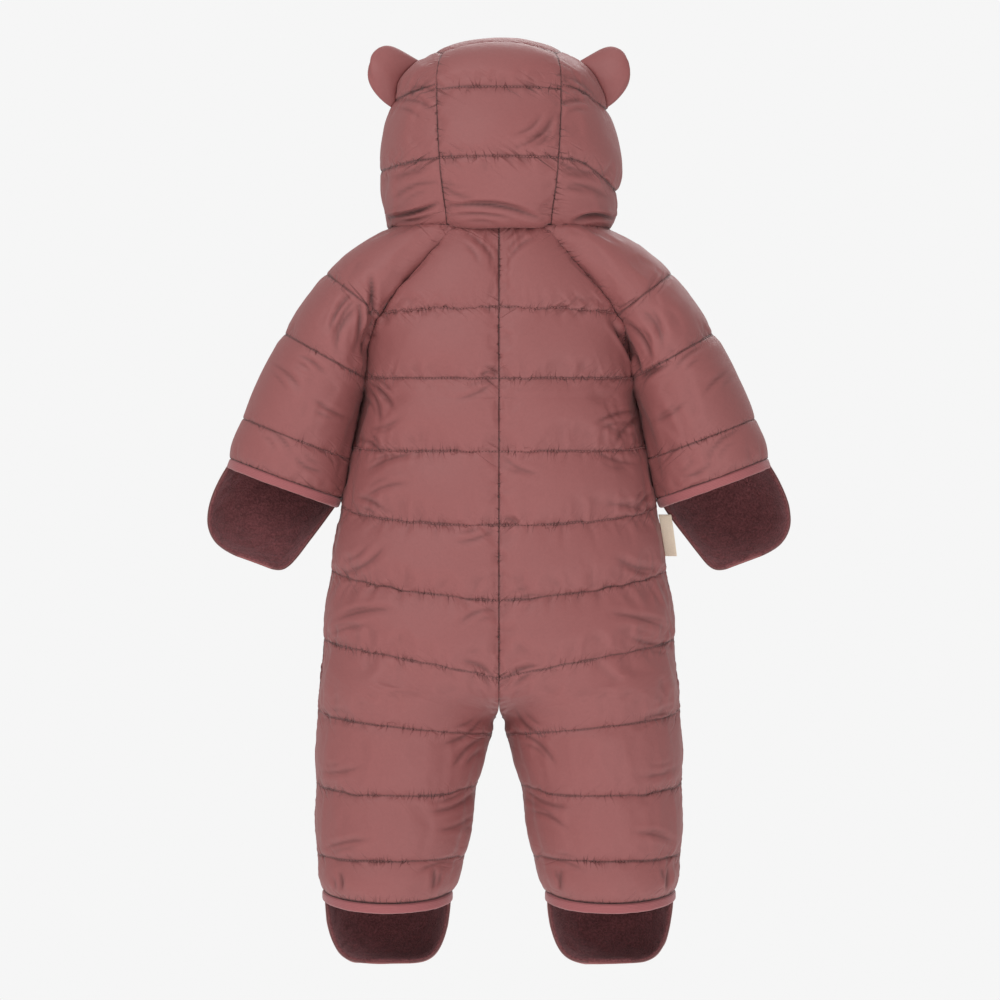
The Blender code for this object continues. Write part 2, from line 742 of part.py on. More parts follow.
def make_end(part, ends, side, word, scoop):
    """Binding on the open back edge, and shell and lining of the fold-over on the front edge."""
    back_edge, back_outs, _, _, downward = ends[BACK]
    front_edge, front_outs, centre, upward, _ = ends[FRONT]
    band = binding_wall(back_edge, back_outs, downward)
    rim = moved(front_edge, downward * 2 * HALF_GAP)
    rim[0].y += HALF_GAP
    rim[-1].y += HALF_GAP
    shell, lining = scoop_walls(rim, front_outs, centre, upward, downward, scoop)
    opening = "cuff" if part == "mitt" else "ankle"
    make_wall(f"{opening}_binding_{word}", band, side, "binding")
    make_wall(f"{part}_shell_{word}", shell, side, "shell")
    make_wall(f"{part}_lining_{word}", lining, side, "fleece")


# ---------------------------------------------------------------- label

def make_label(back):
    """A flat woven loop that stands out of the right side seam, on the seam's outer points."""
    seam = [back.outer(row, BODY_COLUMNS) for row in range(len(back.inner))]
    bottom = LABEL_TOP - LABEL_HEIGHT
    levels = [LABEL_TOP] + [point.z for point in seam if bottom < point.z < LABEL_TOP] + [bottom]
    lines = {-1: [], 1: []}
    for level in levels:
        above = min((point for point in seam if point.z >= level), key=lambda point: point.z)
        below = max((point for point in seam if point.z < level), key=lambda point: point.z)
        foot = above.lerp(below, (above.z - level) / (above.z - below.z))
        for face in lines:
            lines[face].append([
                Vector((foot.x + LABEL_GAP + reach, LABEL_Y + face * LABEL_WALL / 2, level))
                for reach in (0.0, LABEL_REACH)])
    make_object("side_label", grid_mesh("side_label", lines[-1], lines[1]), "label")


# ---------------------------------------------------------------- zip

def zip_line():
    """Centre front points and directions from the neckline down to the zip's lower end."""
    places = [place for place in body_places() if place <= ZIP_END]
    points = [body_point(FRONT, 0.0, place) for place in places]
    outs = [body_out(FRONT, 0.0, place) for place in places]
    return places, points, outs


def zip_strip(name, from_x, to_x, wall, slot):
    _, points, outs = zip_line()
    inner = [[Vector((x, point.y, point.z)) for x in (from_x, to_x)] for point in points]
    outer = [[point + out * wall for point in line] for line, out in zip(inner, outs)]
    make_object(name, grid_mesh(name, inner, outer), slot)


def block(bm, size, centre):
    """An axis-aligned block in a bmesh."""
    matrix = Matrix.Translation(centre) @ Matrix.Diagonal((*size, 1.0))
    bmesh.ops.create_cube(bm, size=1.0, matrix=matrix)


def bridge_mesh():
    """A flat bar bent into an arch over the slider, in the slider's frame."""
    bm = bmesh.new()
    rings = []
    for step in range(BRIDGE_STEPS + 1):
        angle = math.pi * step / BRIDGE_STEPS
        along = math.cos(angle) * (BRIDGE_SPAN - BRIDGE_WALL) / 2
        out = SLIDER_DEPTH - BRIDGE_SINK + math.sin(angle) * BRIDGE_REACH
        ring = []
        for across, thick in ((-1, -1), (1, -1), (1, 1), (-1, 1)):
            spread = thick * BRIDGE_WALL / 2
            corner = Vector((
                across * BRIDGE_WIDTH / 2, out + spread * math.sin(angle), along + spread * math.cos(angle)))
            ring.append(bm.verts.new(corner * MM))
        rings.append(ring)
    for first, second in zip(rings, rings[1:]):
        for corner in range(4):
            after = (corner + 1) % 4
            bm.faces.new((first[corner], first[after], second[after], second[corner]))
    bm.faces.new(rings[0])
    bm.faces.new(rings[-1])
    bmesh.ops.recalc_face_normals(bm, faces=bm.faces)
    mesh = bpy.data.meshes.new("bridge")
    bm.to_mesh(mesh)
    bm.free()
    return mesh


def make_slider():
    """The closed slider near the neckline, with its bridge, and the tab that hangs in it."""
    point = body_point(FRONT, 0.0, SLIDER_PLACE)
    outward = body_out(FRONT, 0.0, SLIDER_PLACE)
    tilt = math.atan2(outward.z, outward.y)
    base = point + outward * (CHAIN_WALL + 2 * HALF_GAP)
    mesh = bpy.data.meshes.new("zip_slider")
    bm = bmesh.new()
    block(bm, Vector((SLIDER_WIDTH, SLIDER_DEPTH, SLIDER_HEIGHT)) * MM,
          Vector((0, SLIDER_DEPTH / 2, 0)) * MM)
    bmesh.ops.bevel(bm, geom=bm.edges[:], offset=SLIDER_BEVEL * MM, segments=2, affect="EDGES")
    bm.to_mesh(mesh)
    bm.free()
    slider = make_object("zip_slider", mesh, "zip_metal")
    slider.location = base * MM
    slider.rotation_euler = (tilt, 0, 0)

    bridge = bpy.data.objects.new("bridge", bridge_mesh())
    bpy.context.collection.objects.link(bridge)
    bridge.location = slider.location
    bridge.rotation_euler = slider.rotation_euler
    bridge.hide_render = True
    bridge.display_type = "WIRE"
    joined = slider.modifiers.new("bridge", "BOOLEAN")
    joined.operation = "UNION"
    joined.object = bridge

    pivot_out = SLIDER_DEPTH + BRIDGE_REACH - BRIDGE_WALL - TAB_WALL / 2 - TAB_PLAY
    pivot = base + Matrix.Rotation(tilt, 3, "X") @ Vector((0, pivot_out, 0))
    make_tab(pivot)


def make_tab(pivot):
    """The pull tab: a plate with a window, whose top bar runs through the bridge. Its origin is the bar."""
    side_bar = (TAB_WIDTH - TAB_WINDOW_WIDTH) / 2
    lefts = (0.0, side_bar, side_bar + TAB_WINDOW_WIDTH, TAB_WIDTH)
    tops = (0.0, TAB_BAR, TAB_BAR + TAB_WINDOW_HEIGHT, TAB_HEIGHT * TAB_SHOULDER, TAB_HEIGHT)
    bm = bmesh.new()
    verts = [[bm.verts.new(Vector((left - TAB_WIDTH / 2, -TAB_WALL / 2, TAB_BAR / 2 - top)) * MM)
              for left in lefts] for top in tops]
    for row in range(len(tops) - 1):
        for column in range(len(lefts) - 1):
            if row == 1 and column == 1:
                continue
            bm.faces.new((verts[row][column], verts[row][column + 1],
                          verts[row + 1][column + 1], verts[row + 1][column]))
    for vert in (verts[-1][0], verts[-1][-1]):
        vert.co.z += TAB_CORNER * MM
    made = bmesh.ops.extrude_face_region(bm, geom=list(bm.faces), use_keep_orig=True)
    for vert in made["geom"]:
        if isinstance(vert, bmesh.types.BMVert):
            vert.co.y += TAB_WALL * MM
    bmesh.ops.recalc_face_normals(bm, faces=bm.faces)
    mesh = bpy.data.meshes.new("zip_pull")
    bm.to_mesh(mesh)
    bm.free()
    tab = make_object("zip_pull", mesh, "zip_metal")
    tab.location = pivot * MM


def make_zip():
    inset = 2 * HALF_GAP
    zip_strip("zip_chain", -CHAIN_HALF_WIDTH, CHAIN_HALF_WIDTH, CHAIN_WALL, "zip_teeth")
    for word, side in SIDES:
        zip_strip(f"zip_tape_{word}", side * (CHAIN_HALF_WIDTH + inset), side * (ZIP_HALF_WIDTH - inset),
                  TAPE_WALL, "zip_tape")
    make_slider()


# ---------------------------------------------------------------- the suit

def main():
    for made in list(bpy.data.objects):
        bpy.data.objects.remove(made, do_unlink=True)
    body = {face: body_wall(face) for face in (BACK, FRONT)}
    sleeve = sleeve_wall()
    hood_side = hood_side_wall()
    make_wall("hood_centre", hood_centre_wall(), RIGHT, "shell")
    ear_back, ear_front = ear_grids(hood_side)
    for word, side in SIDES:
        make_wall(f"back_{word}", body[BACK], side, "shell")
        make_wall(f"front_{word}", body[FRONT], side, "shell")
        make_wall(f"sleeve_{word}", sleeve, side, "shell")
        make_wall(f"hood_side_{word}", hood_side, side, "shell")
        ear = grid_mesh(f"ear_{word}", mirrored(ear_back, side), mirrored(ear_front, side))
        make_object(f"ear_{word}", ear, "ears")
        sleeve_ends = {face: sleeve_end(sleeve, face) for face in (BACK, FRONT)}
        leg_ends = {face: leg_end(body[face]) for face in (BACK, FRONT)}
        make_end("mitt", sleeve_ends, side, word, MITT)
        make_end("foot", leg_ends, side, word, FOOT)
    make_label(body[BACK])
    make_zip()


main()
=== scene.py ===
"""Baby snowsuit: the cloth, padding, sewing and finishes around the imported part.

The tables and surface functions hold the same named sizes as the part's source, in millimetres. +Z is up,
+Y is the wearer's front and +X the wearer's right. Each panel is one fine grid, drawn out between its seams
and quilt lines and settled by a short cloth simulation.
"""

import math
from collections import namedtuple

import bmesh
import bpy
import numpy as np
from bpy.props import FloatProperty, FloatVectorProperty, IntProperty, PointerProperty
from mathutils import Matrix, Vector


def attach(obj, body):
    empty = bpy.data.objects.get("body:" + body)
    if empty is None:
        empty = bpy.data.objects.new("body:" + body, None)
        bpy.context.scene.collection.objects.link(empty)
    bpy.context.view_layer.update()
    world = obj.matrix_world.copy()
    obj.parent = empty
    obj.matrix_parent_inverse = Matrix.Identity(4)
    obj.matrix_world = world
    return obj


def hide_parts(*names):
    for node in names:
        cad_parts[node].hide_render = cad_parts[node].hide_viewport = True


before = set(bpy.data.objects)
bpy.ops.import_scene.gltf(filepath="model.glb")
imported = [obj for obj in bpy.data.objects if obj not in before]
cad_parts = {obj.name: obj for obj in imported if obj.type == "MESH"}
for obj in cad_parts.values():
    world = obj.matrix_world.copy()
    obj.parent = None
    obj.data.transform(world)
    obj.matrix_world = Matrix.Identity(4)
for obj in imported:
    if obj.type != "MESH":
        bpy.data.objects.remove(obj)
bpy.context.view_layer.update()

bl_info = {
    "name": "Baby Snowsuit",
    "version": (1, 0, 0),
    "blender": (4, 5, 0),
    "location": "View3D > Sidebar > Snowsuit",
    "description": "Builds the quilted cloth, fleece, bindings and sewing of a baby snowsuit",
    "category": "Object",
}

# Every size below is in millimetres, and places are row numbers of a table, with shares of a row.
MM = 0.001
# Points each way in the grids of the small pieces, and the step of the grid that the label's foot lies on.
END_POINTS, ZIP_POINTS, CORE_POINTS, LABEL_DOWN, LABEL_ACROSS, LABEL_SEAM_STEP = 61, 200, 9, 37, 15, 4.0
DOWN = (0.0, 0.0, -1.0)
BACK, FRONT = -1, 1
LEFT, RIGHT = -1, 1
SIDES = (("left", LEFT), ("right", RIGHT))

# Half the gap between pieces. TIGHT is the grid's spacing near seams and lines, as a share of its step.
HALF_GAP, TIGHT, TIGHT_REACH = 0.006, 0.45, 9.0
# The wall at a seam, and the rise of the padding above it between quilt lines.
SEAM_WALL, BODY_LOFT, SLEEVE_LOFT, HOOD_LOFT = 3.0, 6.0, 4.5, 6.5
LOFT_ROUNDING, EDGE_ROUNDING, SAG = 0.62, 0.5, 1.3
# Where arm and body, and the two thighs, press each other's padding flat, and how thick the walls are there.
ARM_PRESS_ROWS, ARM_PRESS_SHARE = (1.1, 1.3, 4.9, 5.3), 0.45
THIGH_PRESS_ROWS, THIGH_PRESS_SHARE = (7.0, 7.5, 8.9, 10.0), 0.55
BODY_BY_ARM = (2.6, 3.05, 3.5, 4.2, 4.6, 4.85, 5.1), (0.4, 1.9, 3.0, 3.4, 2.8, 2.0, 0.0)
ARM_BY_BODY = (2.6, 3.0, 3.5, 4.0, 4.3, 4.6, 4.85, 5), (0.0, 1.2, 2.1, 2.3, 1.9, 1.4, 0.7, 0.0)
# Share of the settling that the legs lose from one depth below the neck to another.
LEG_CALM, LEG_CALM_FROM, LEG_CALM_TO = 0.55, 395.0, 430.0
NECK_DEPTH, NECK_TILT = 57.0, 0.12

BodyRow = namedtuple(
    "BodyRow", "name stitched side_z centre_drop middle_drop centre_x half_width half_depth")
BODY = (
    BodyRow("neck", True, 0, 0, 0, 0, 118, NECK_DEPTH),
    BodyRow("shoulder line", True, -77, -6, 0, 0, 117.5, 75),
    BodyRow("underarm line", True, -132, 0, 0, 0, 115.5, 81),
    BodyRow("armpit", False, -148, 1, 0, 0, 113.5, 82),
    BodyRow("rib line", True, -191, 4, 0, 0, 121, 83),
    BodyRow("waist line", True, -239, 19, 0, 2, 130, 85),
    BodyRow("hip line", True, -295, 28, 0, 12, 129, 88),
    BodyRow("seat line", True, -357, 32, 0, 40, 108, 88),
    BodyRow("crotch", False, -388, 30, 0, 75, 75, 82),
    BodyRow("thigh line", True, -416, 22, 0, 81, 72, 75),
    BodyRow("knee line", True, -479, 0, 12, 88, 66.5, 67),
    BodyRow("shin line", True, -541, 0, 6, 93, 60.5, 61),
    BodyRow("ankle", True, -571, 0, 12, 96, 53, 55),
)
UNDERARM, CROTCH = 2, 8

SleeveRow = namedtuple("SleeveRow", "name stitched seam_x seam_y seam_z top_x top_z half_depth")
SLEEVE = (
    SleeveRow("neck", True, 36, 55, 0, 92, 0, 55),
    SleeveRow("shoulder line", True, 102, 42, -77, 146, -44, 60),
    SleeveRow("underarm line", True, 115.5, 0, -132, 181.5, -95, 60),
    SleeveRow("armpit", False, 122.5, 0, -150, 191, -111, 58),
    SleeveRow("elbow line", True, 134, 0, -200, 217.5, -167.5, 52),
    SleeveRow("cuff", True, 138.5, 0, -235, 229, -201.5, 45),
)

HoodRow = namedtuple(
    "HoodRow", "name stitched back_z side_z face_z seam_x half_width half_depth centre_y face_angle")
HOOD = (
    HoodRow("neck", True, 0, 0, 0, 44, 91, NECK_DEPTH, 0, 170),
    HoodRow("slump", False, 13, 11, 8, 45, 93.5, 72, -1, 152),
    HoodRow("nape line", True, 57, 50, 52, 50, 98, 92, 0, 136),
    HoodRow("crown line", True, 120, 108, 112, 52, 86, 85, 8, 130),
    HoodRow("crown seam", True, 146, 147, 143, 48, 53, 100, 20, 118),
)
CROWN = len(HOOD) - 1
# The centre strip arches between its seams, and leans back in degrees at each row and at the face edge.
STRIP_RISE, STRIP_LEANS, STRIP_FACE_LEAN = 8.0, (0, 0, 6, 42, 74), 96
# How far the nape line falls on each side, and the share of the padding's rise that shows.
NAPE_DROOP = {LEFT: 0.06, RIGHT: 0.42}
HOOD_PUFF, CROWN_PUFF = {LEFT: 0.35, RIGHT: 0.75}, 0.6

# The ear's root runs between two places of the hood at one share of its side panel.
EAR_ROOT, EAR_SHARE = (2.86, 3.65), 0.5
EAR_WIDTH, EAR_HEIGHT, EAR_TIP, EAR_TIP_REACH = 36.0, 37.0, 0.72, 0.992
EAR_EDGE, EAR_STUFFING = 2.0, 4.0

# A fold-over end turns by SCOOP_TURN degrees from its rim to its tip.
SCOOP_TURN, SHELL_WALL, LINING_WALL = 86.0, 2.4, 2.4
Scoop = namedtuple("Scoop", "length roundness lean")
MITT = Scoop(76.0, 0.4, 9.0)
FOOT = Scoop(63.5, 0.38, 0.0)
BINDING_WIDTH, BINDING_EXTRA = 8.5, 0.9

ZIP_END, ZIP_END_STEP, ZIP_HALF_WIDTH = 6.5, 0.05, 5.5
CHAIN_HALF_WIDTH, CHAIN_WALL, TAPE_WALL, CORE_WALL = 2.1, 2.8, 1.6, 1.5
TAPE_ROLL = (0.55, 0.95, 1.0, 1.0, 1.0, 0.95, 0.7)
# One loop of the zip's coil. LOOP_SHARE is half its length as a share of the pitch.
LOOP_HALF_WIDTH, LOOP_SHARE, LOOP_HALF_HEIGHT, LOOP_LEAN, LOOP_LIFT = 1.55, 0.46, 0.9, 0.45, CHAIN_WALL - 0.95
LABEL_TOP, LABEL_HEIGHT, LABEL_REACH, LABEL_WALL = -249.0, 36.0, 11.0, 1.0
LABEL_GAP, LABEL_Y = 0.7, -1.4


# ---------------------------------------------------------------- numbers on whole grids

def vec(x, y, z):
    return np.stack(np.broadcast_arrays(x, y, z), axis=-1).astype(float)


def length_of(vectors):
    return np.linalg.norm(vectors, axis=-1)


def unit(vectors):
    return vectors / np.maximum(length_of(vectors), 1e-9)[..., None]


def line_lengths(points):
    """Length run along a line of points, from 0 at its first."""
    return np.concatenate([[0], np.cumsum(length_of(np.diff(points, axis=0)))])


def grid_lengths(points):
    """Lengths run across the rows and down the columns of a grid of points."""
    across, down = np.zeros(points.shape[:2]), np.zeros(points.shape[:2])
    across[:, 1:] = np.cumsum(length_of(np.diff(points, axis=1)), axis=1)
    down[1:] = np.cumsum(length_of(np.diff(points, axis=0)), axis=0)
    return across, down


def grid_area(points):
    """Area of a grid of points in millimetres, in square metres."""
    across = np.cross(points[1:, :-1] - points[:-1, :-1], points[:-1, 1:] - points[:-1, :-1])
    return float(length_of(across).sum()) * MM * MM


def facing(normals, directions):
    turn = np.where((normals * directions).sum(axis=-1) < 0, -1.0, 1.0)
    return normals * turn[..., None]


def ease(values, low, high):
    """0 up to low and 1 from high on, smoothly in between."""
    share = np.clip((values - low) / (high - low), 0.0, 1.0)
    return share * share * (3 - 2 * share)


def towards(vectors, target, weight):
    """Turns directions to a target, by a weight of 0 to 1."""
    return unit(vectors + (target - vectors) * weight[..., None])


def on_one_grid(*values):
    return np.broadcast_arrays(*(np.asarray(value, float) for value in values))


# Points each way of the noise's lattice, before it repeats.
LATTICE = 128


def cloth_noise(u, v, seed):
    """Smooth noise from -1 to 1 on a lattice of one unit."""
    lattice = np.random.default_rng(seed).uniform(-1, 1, (LATTICE, LATTICE))
    column, row = np.floor(u).astype(int), np.floor(v).astype(int)
    across, down = u - column, v - row
    across, down = across * across * (3 - 2 * across), down * down * (3 - 2 * down)

    def corner(right, below):
        return lattice[(row + below) % LATTICE, (column + right) % LATTICE]

    top = corner(0, 0) * (1 - across) + corner(1, 0) * across
    bottom = corner(0, 1) * (1 - across) + corner(1, 1) * across
    return top * (1 - down) + bottom * down


# ---------------------------------------------------------------- tables and surfaces of the right half

def smooth_value(table, column, place):
    values = np.array([getattr(row, column) for row in table], float)
    last = len(values) - 1
    place = np.asarray(place, float)
    index = np.clip(place.astype(int), 0, last - 1)
    step = place - index
    before, start, end, after = (values[np.clip(index + n, 0, last)] for n in (-1, 0, 1, 2))
    slope_in, slope_out, rise = (end - before) / 2, (after - start) / 2, end - start
    return (start + slope_in * step + (3 * rise - 2 * slope_in - slope_out) * step ** 2
            + (slope_in + slope_out - 2 * rise) * step ** 3)


def columns_at(table, place, names):
    """Several columns of a table at once, by their names in one line of words."""
    return (smooth_value(table, name, place) for name in names.split())


HEIGHTS = {BodyRow: "side_z", SleeveRow: "seam_z", HoodRow: "back_z"}


def stitched_rows(table):
    return [index for index, row in enumerate(table) if row.stitched]


def channel_loft(table, place):
    """Rise of the padding between two quilt lines, by its real height between them."""
    levels = np.abs([getattr(row, HEIGHTS[type(row)]) for row in table])
    lines = levels[stitched_rows(table)]
    height = np.interp(place, range(len(table)), levels)
    index = np.clip(np.searchsorted(lines, height, side="right") - 1, 0, len(lines) - 2)
    share = np.clip((height - lines[index]) / (lines[index + 1] - lines[index]), 0, 1)
    return np.sin(np.pi * share ** (1 / SAG if table is HOOD else SAG)) ** LOFT_ROUNDING


def edge_loft(share):
    return np.maximum(np.sin(np.pi * np.clip(share, 0, 1)), 0) ** EDGE_ROUNDING


def neck_fall(y, place):
    fall = NECK_TILT * (y + NECK_DEPTH) ** 2 / (2 * NECK_DEPTH)
    return -fall * np.clip(1 - np.maximum(place, 0), 0, None)


def sleeve_section(place):
    place = np.asarray(place, float)
    seam_x, seam_y, seam_z, top_x, top_z, half_depth = columns_at(
        SLEEVE, place, "seam_x seam_y seam_z top_x top_z half_depth")
    seam_y = np.where(place >= UNDERARM, 0.0, seam_y)
    across = vec(top_x - seam_x, 0, top_z - seam_z)
    cosine = -np.sqrt(np.maximum(0, 1 - (seam_y / half_depth) ** 2))
    half_width = length_of(across) / (1 - cosine)
    upward = unit(across)
    centre = vec(top_x, 0, top_z) - upward * half_width[..., None]
    return centre, upward, half_width, half_depth, np.arccos(cosine)


def sleeve_point(share, place):
    share, place = on_one_grid(share, place)
    centre, upward, half_width, half_depth, half_arc = sleeve_section(place)
    angle = share * half_arc
    point = centre + upward * (half_width * np.cos(angle))[..., None]
    point[..., 1] += half_depth * np.sin(angle)
    point[..., 2] += neck_fall(point[..., 1], place)
    return point


def drop_share(place, to_centre):
    """How far a quilt line has fallen on its way from the side seam to the middle."""
    rounded = np.interp(place, (0, 5, 6, 7, 8, 9, 12), (1, 1, 0.5, 0, 0.5, 1, 1))
    to_centre = np.clip(to_centre, 0, 1)
    return rounded * (1 - (1 - to_centre) ** 2) + (1 - rounded) * to_centre ** 1.4


def body_point(face, share, place):
    share, place = on_one_grid(share, place)
    half_depth, side_z, centre_drop, middle_drop, trunk_x, trunk_width = columns_at(
        BODY, place, "half_depth side_z centre_drop middle_drop centre_x half_width")
    seam = sleeve_point(float(face), np.minimum(place, UNDERARM))
    seam_z = seam[..., 2] - neck_fall(seam[..., 1], place)
    sine = np.minimum(np.abs(seam[..., 1]) / half_depth, 0.999)
    yoke = place < UNDERARM
    yoke_width = seam[..., 0] / np.sqrt(1 - sine ** 2)
    yoke_angle = np.pi / 2 - share * (np.pi / 2 - np.arcsin(sine))
    centre_x = np.where(yoke, 0.0, trunk_x)
    trunk_width = np.maximum(trunk_width, 1.0)
    ratio = np.clip(-centre_x / trunk_width, -1, 1)
    full_angle = np.where(place >= CROTCH, np.pi, np.arccos(ratio))
    half_width = np.where(yoke, yoke_width, trunk_width)
    angle = np.where(yoke, yoke_angle, full_angle * (1 - share))
    level = np.where(yoke, seam_z, side_z)
    y = face * half_depth * np.sin(angle)
    to_centre = 1 - share
    z = level - centre_drop * drop_share(place, to_centre) - middle_drop * np.sin(np.pi * to_centre)
    return vec(centre_x + half_width * np.cos(angle), y, z + neck_fall(y, place))


def hood_point(share, place):
    share, place = on_one_grid(share, place)
    half_width, half_depth, seam_x, centre_y, face_angle, back_z, side_z, face_z = columns_at(
        HOOD, place, "half_width half_depth seam_x centre_y face_angle back_z side_z face_z")
    seam_angle = np.arcsin(np.minimum(seam_x / half_width, 1.0))
    angle = seam_angle + (np.radians(face_angle) - seam_angle) * share
    y = centre_y - half_depth * np.cos(angle)
    z = (back_z + (face_z - back_z) * share
         + (side_z - (back_z + face_z) / 2) * 4 * share * (1 - share))
    return vec(half_width * np.sin(angle), y, z + neck_fall(y, place))


def strip_seam(step):
    """Seam point, lean and rise of the centre strip's arch. On the crown, step runs from 4 to 5."""
    place, share = np.minimum(step, CROWN), np.clip(step - CROWN, 0, 1)
    point = hood_point(share, place)
    index = np.clip(place.astype(int), 0, CROWN - 1)
    leans = np.array(STRIP_LEANS, float)
    lean = leans[index] + (leans[index + 1] - leans[index]) * (place - index)
    lean = lean + (STRIP_FACE_LEAN - STRIP_LEANS[-1]) * share
    half_width, half_depth, seam_x = columns_at(HOOD, place, "half_width half_depth seam_x")
    flat = half_depth * (1 - np.sqrt(np.maximum(0, 1 - (seam_x / half_width) ** 2)))
    rise = np.where(step <= CROWN, np.minimum(flat, STRIP_RISE), STRIP_RISE)
    return point, np.radians(lean), rise


def strip_point(across, step):
    across, step = on_one_grid(across, step)
    seam, lean, rise = strip_seam(step)
    arch = rise * (1 - across ** 2)
    point = seam + vec(0, -np.cos(lean), np.sin(lean)) * arch[..., None]
    point[..., 0] = seam[..., 0] * across
    point[..., 2] = np.where(step == 0, neck_fall(point[..., 1], 0.0), point[..., 2])
    return point


# ---------------------------------------------------------------- outward directions

def surface_normal(surface, across, along, last, outward, small=0.01):
    side = surface(across + small, along) - surface(across - small, along)
    above, below = np.minimum(along + small, last), np.maximum(along - small, 0.0)
    return facing(unit(np.cross(side, surface(across, above) - surface(across, below))), outward)


def body_normal(face, share, place):
    point = body_point(face, share, place)
    centre_x = np.where(place < UNDERARM, 0.0, smooth_value(BODY, "centre_x", place))
    outward = vec(point[..., 0] - centre_x, point[..., 1], 0)
    return surface_normal(
        lambda a, b: body_point(face, a, b), share, place, len(BODY) - 1, outward)


def sleeve_normal(share, place):
    outward = sleeve_point(share, place) - sleeve_section(place)[0]
    return surface_normal(sleeve_point, share, place, len(SLEEVE) - 1, outward)


def hood_normal(share, place):
    point = hood_point(share, place)
    return surface_normal(hood_point, share, place, CROWN, vec(point[..., 0], point[..., 1], 0))


def strip_normal(across, step):
    lean = strip_seam(step)[1]
    return surface_normal(
        strip_point, across, step, CROWN + 1, vec(0, -np.cos(lean), np.sin(lean)))


def in_neck_plane(directions):
    return unit(vec(directions[..., 0], directions[..., 1], -NECK_TILT * directions[..., 1]))


def level_at_neck(outs, rows):
    """Directions that lie in the neck's plane at the first row and are free a quarter row on."""
    return towards(outs, in_neck_plane(outs), 1 - ease(rows, 0.0, 0.25))


def turned_down(outs, weight):
    return towards(outs, np.broadcast_to(DOWN, outs.shape), weight)


def raglan_out(face, place):
    one = np.ones_like(place)
    near = np.minimum(place, UNDERARM - 0.02)
    together = unit(body_normal(face, one, near) + sleeve_normal(face * one, near))
    return turned_down(level_at_neck(together, place), ease(place, UNDERARM - 0.25, UNDERARM))


def level_out(normal):
    return unit(vec(normal[..., 0], 0, normal[..., 2]))


def centre_out(face, place):
    small = 0.02
    near = np.minimum(place, CROTCH - 0.1)
    zero = np.zeros_like(near)
    above = body_point(face, zero, np.maximum(near - small, 0))
    below = body_point(face, zero, near + small)
    run = below - above
    across = unit(vec(0, run[..., 2], -run[..., 1]))
    return turned_down(facing(across, vec(zero, face, zero)), ease(place, CROTCH - 0.3, CROTCH))


def crown_seam_out(step):
    """Direction of the seam between strip and side panel; the crown part is step 4 to 5."""
    one = np.ones_like(step)
    side = hood_normal(np.clip(step - CROWN, 0, 1), np.minimum(step, CROWN))
    return level_at_neck(unit(strip_normal(one, step) + side), step)


# ---------------------------------------------------------------- panels

# rows are the stitched rows and places all rows of the grid. lines, edges and seams are distances to the
# nearest quilt line, edge and gathered seam, flat is how flat the cloth lies, and lean slants its gathers.
Panel = namedtuple("Panel", "inner outer outs u v lines edges flat seams lean rows places")


def spaced(length, step):
    """Shares from 0 to 1 of a length, closer together near its two ends."""
    share = np.linspace(0, 1, 401)
    off = np.minimum(share, 1 - share) * length
    density = 1 / (TIGHT + (1 - TIGHT) * ease(off, 0.0, TIGHT_REACH))
    total = np.concatenate([[0], np.cumsum((density[1:] + density[:-1]) / 2)])
    count = max(4, round(float(total[-1] / 400 * length / step)))
    return np.interp(np.linspace(0, 1, count + 1), total / total[-1], share)


def grid_places(table, surface, step):
    """Places of the fine grid's rows. Every row of the table is one of them."""
    places = []
    for index in range(len(table) - 1):
        run = surface(np.linspace(index, index + 1, 9))
        places += list(index + spaced(float(length_of(np.diff(run, axis=0)).sum()), step)[:-1])
    return np.array(places + [len(table) - 1.0])


def grid_shares(surface, places, columns, low_gap, high_gap):
    """Shares from 0 to 1 on each row, short of the seams by the gaps in millimetres."""
    run = surface(np.linspace(0, 1, 33)[None, :], places[:, None])
    widths = length_of(np.diff(run, axis=1)).sum(axis=1)
    low, high = low_gap / widths, 1 - high_gap / widths
    return low[:, None] + (high - low)[:, None] * columns[None, :]


# How nearly flat the cloth lies along some quilt lines, by the row's number, where stitches show. It lies so
# over FLAT_REACH, where its wall rises by up to FLAT_RISE of the padding's rise.
FLAT_REACH, FLAT_RISE = 9.0, 0.55
BODY_FLAT = {1: 0.75, 2: 0.45, 4: 0.4, 5: 0.15}
STRIP_FLAT = {2: 0.8, 3: 0.3}


def lay_panel(inner, outs, wall, places, loft, table, flat_lines, calm=1.0, lean=1.5):
    """A panel with its lengths along and across, and its distance to quilt lines and seams.

    calm above 1 keeps gathers off the seam at its low end. Gathers lean by lean across for one down.
    """
    u, v = grid_lengths(inner)
    flat = np.zeros_like(u)
    rows = [int(np.argmin(np.abs(places - index))) for index in stitched_rows(table)]
    if places[-1] > len(table) - 1:
        rows.append(len(places) - 1)
    patch = 0.85 + 0.3 * cloth_noise(u / 26.0 + 60, 0 * u + 3, 17 + len(rows))
    for row, index in zip(rows, stitched_rows(table)):
        off = np.abs(v - v[row][None, :])
        flat = np.maximum(flat, flat_lines.get(index, 0.0) * np.exp(-(off / FLAT_REACH) ** 2))
    flat *= patch * ease(np.minimum(u, u[:, -1:] - u), 3.0, 24.0)
    wall = wall + FLAT_RISE * loft * flat
    outer = inner + outs * wall[..., None]
    to_line = np.min([np.abs(v - v[row][None, :]) for row in rows], axis=0)
    to_edge = np.minimum(u, u[:, -1:] - u)
    to_seam = np.minimum(u * calm, u[:, -1:] - u)
    return Panel(inner, outer, outs, u, v, to_line, to_edge, flat, to_seam, lean, rows, places)


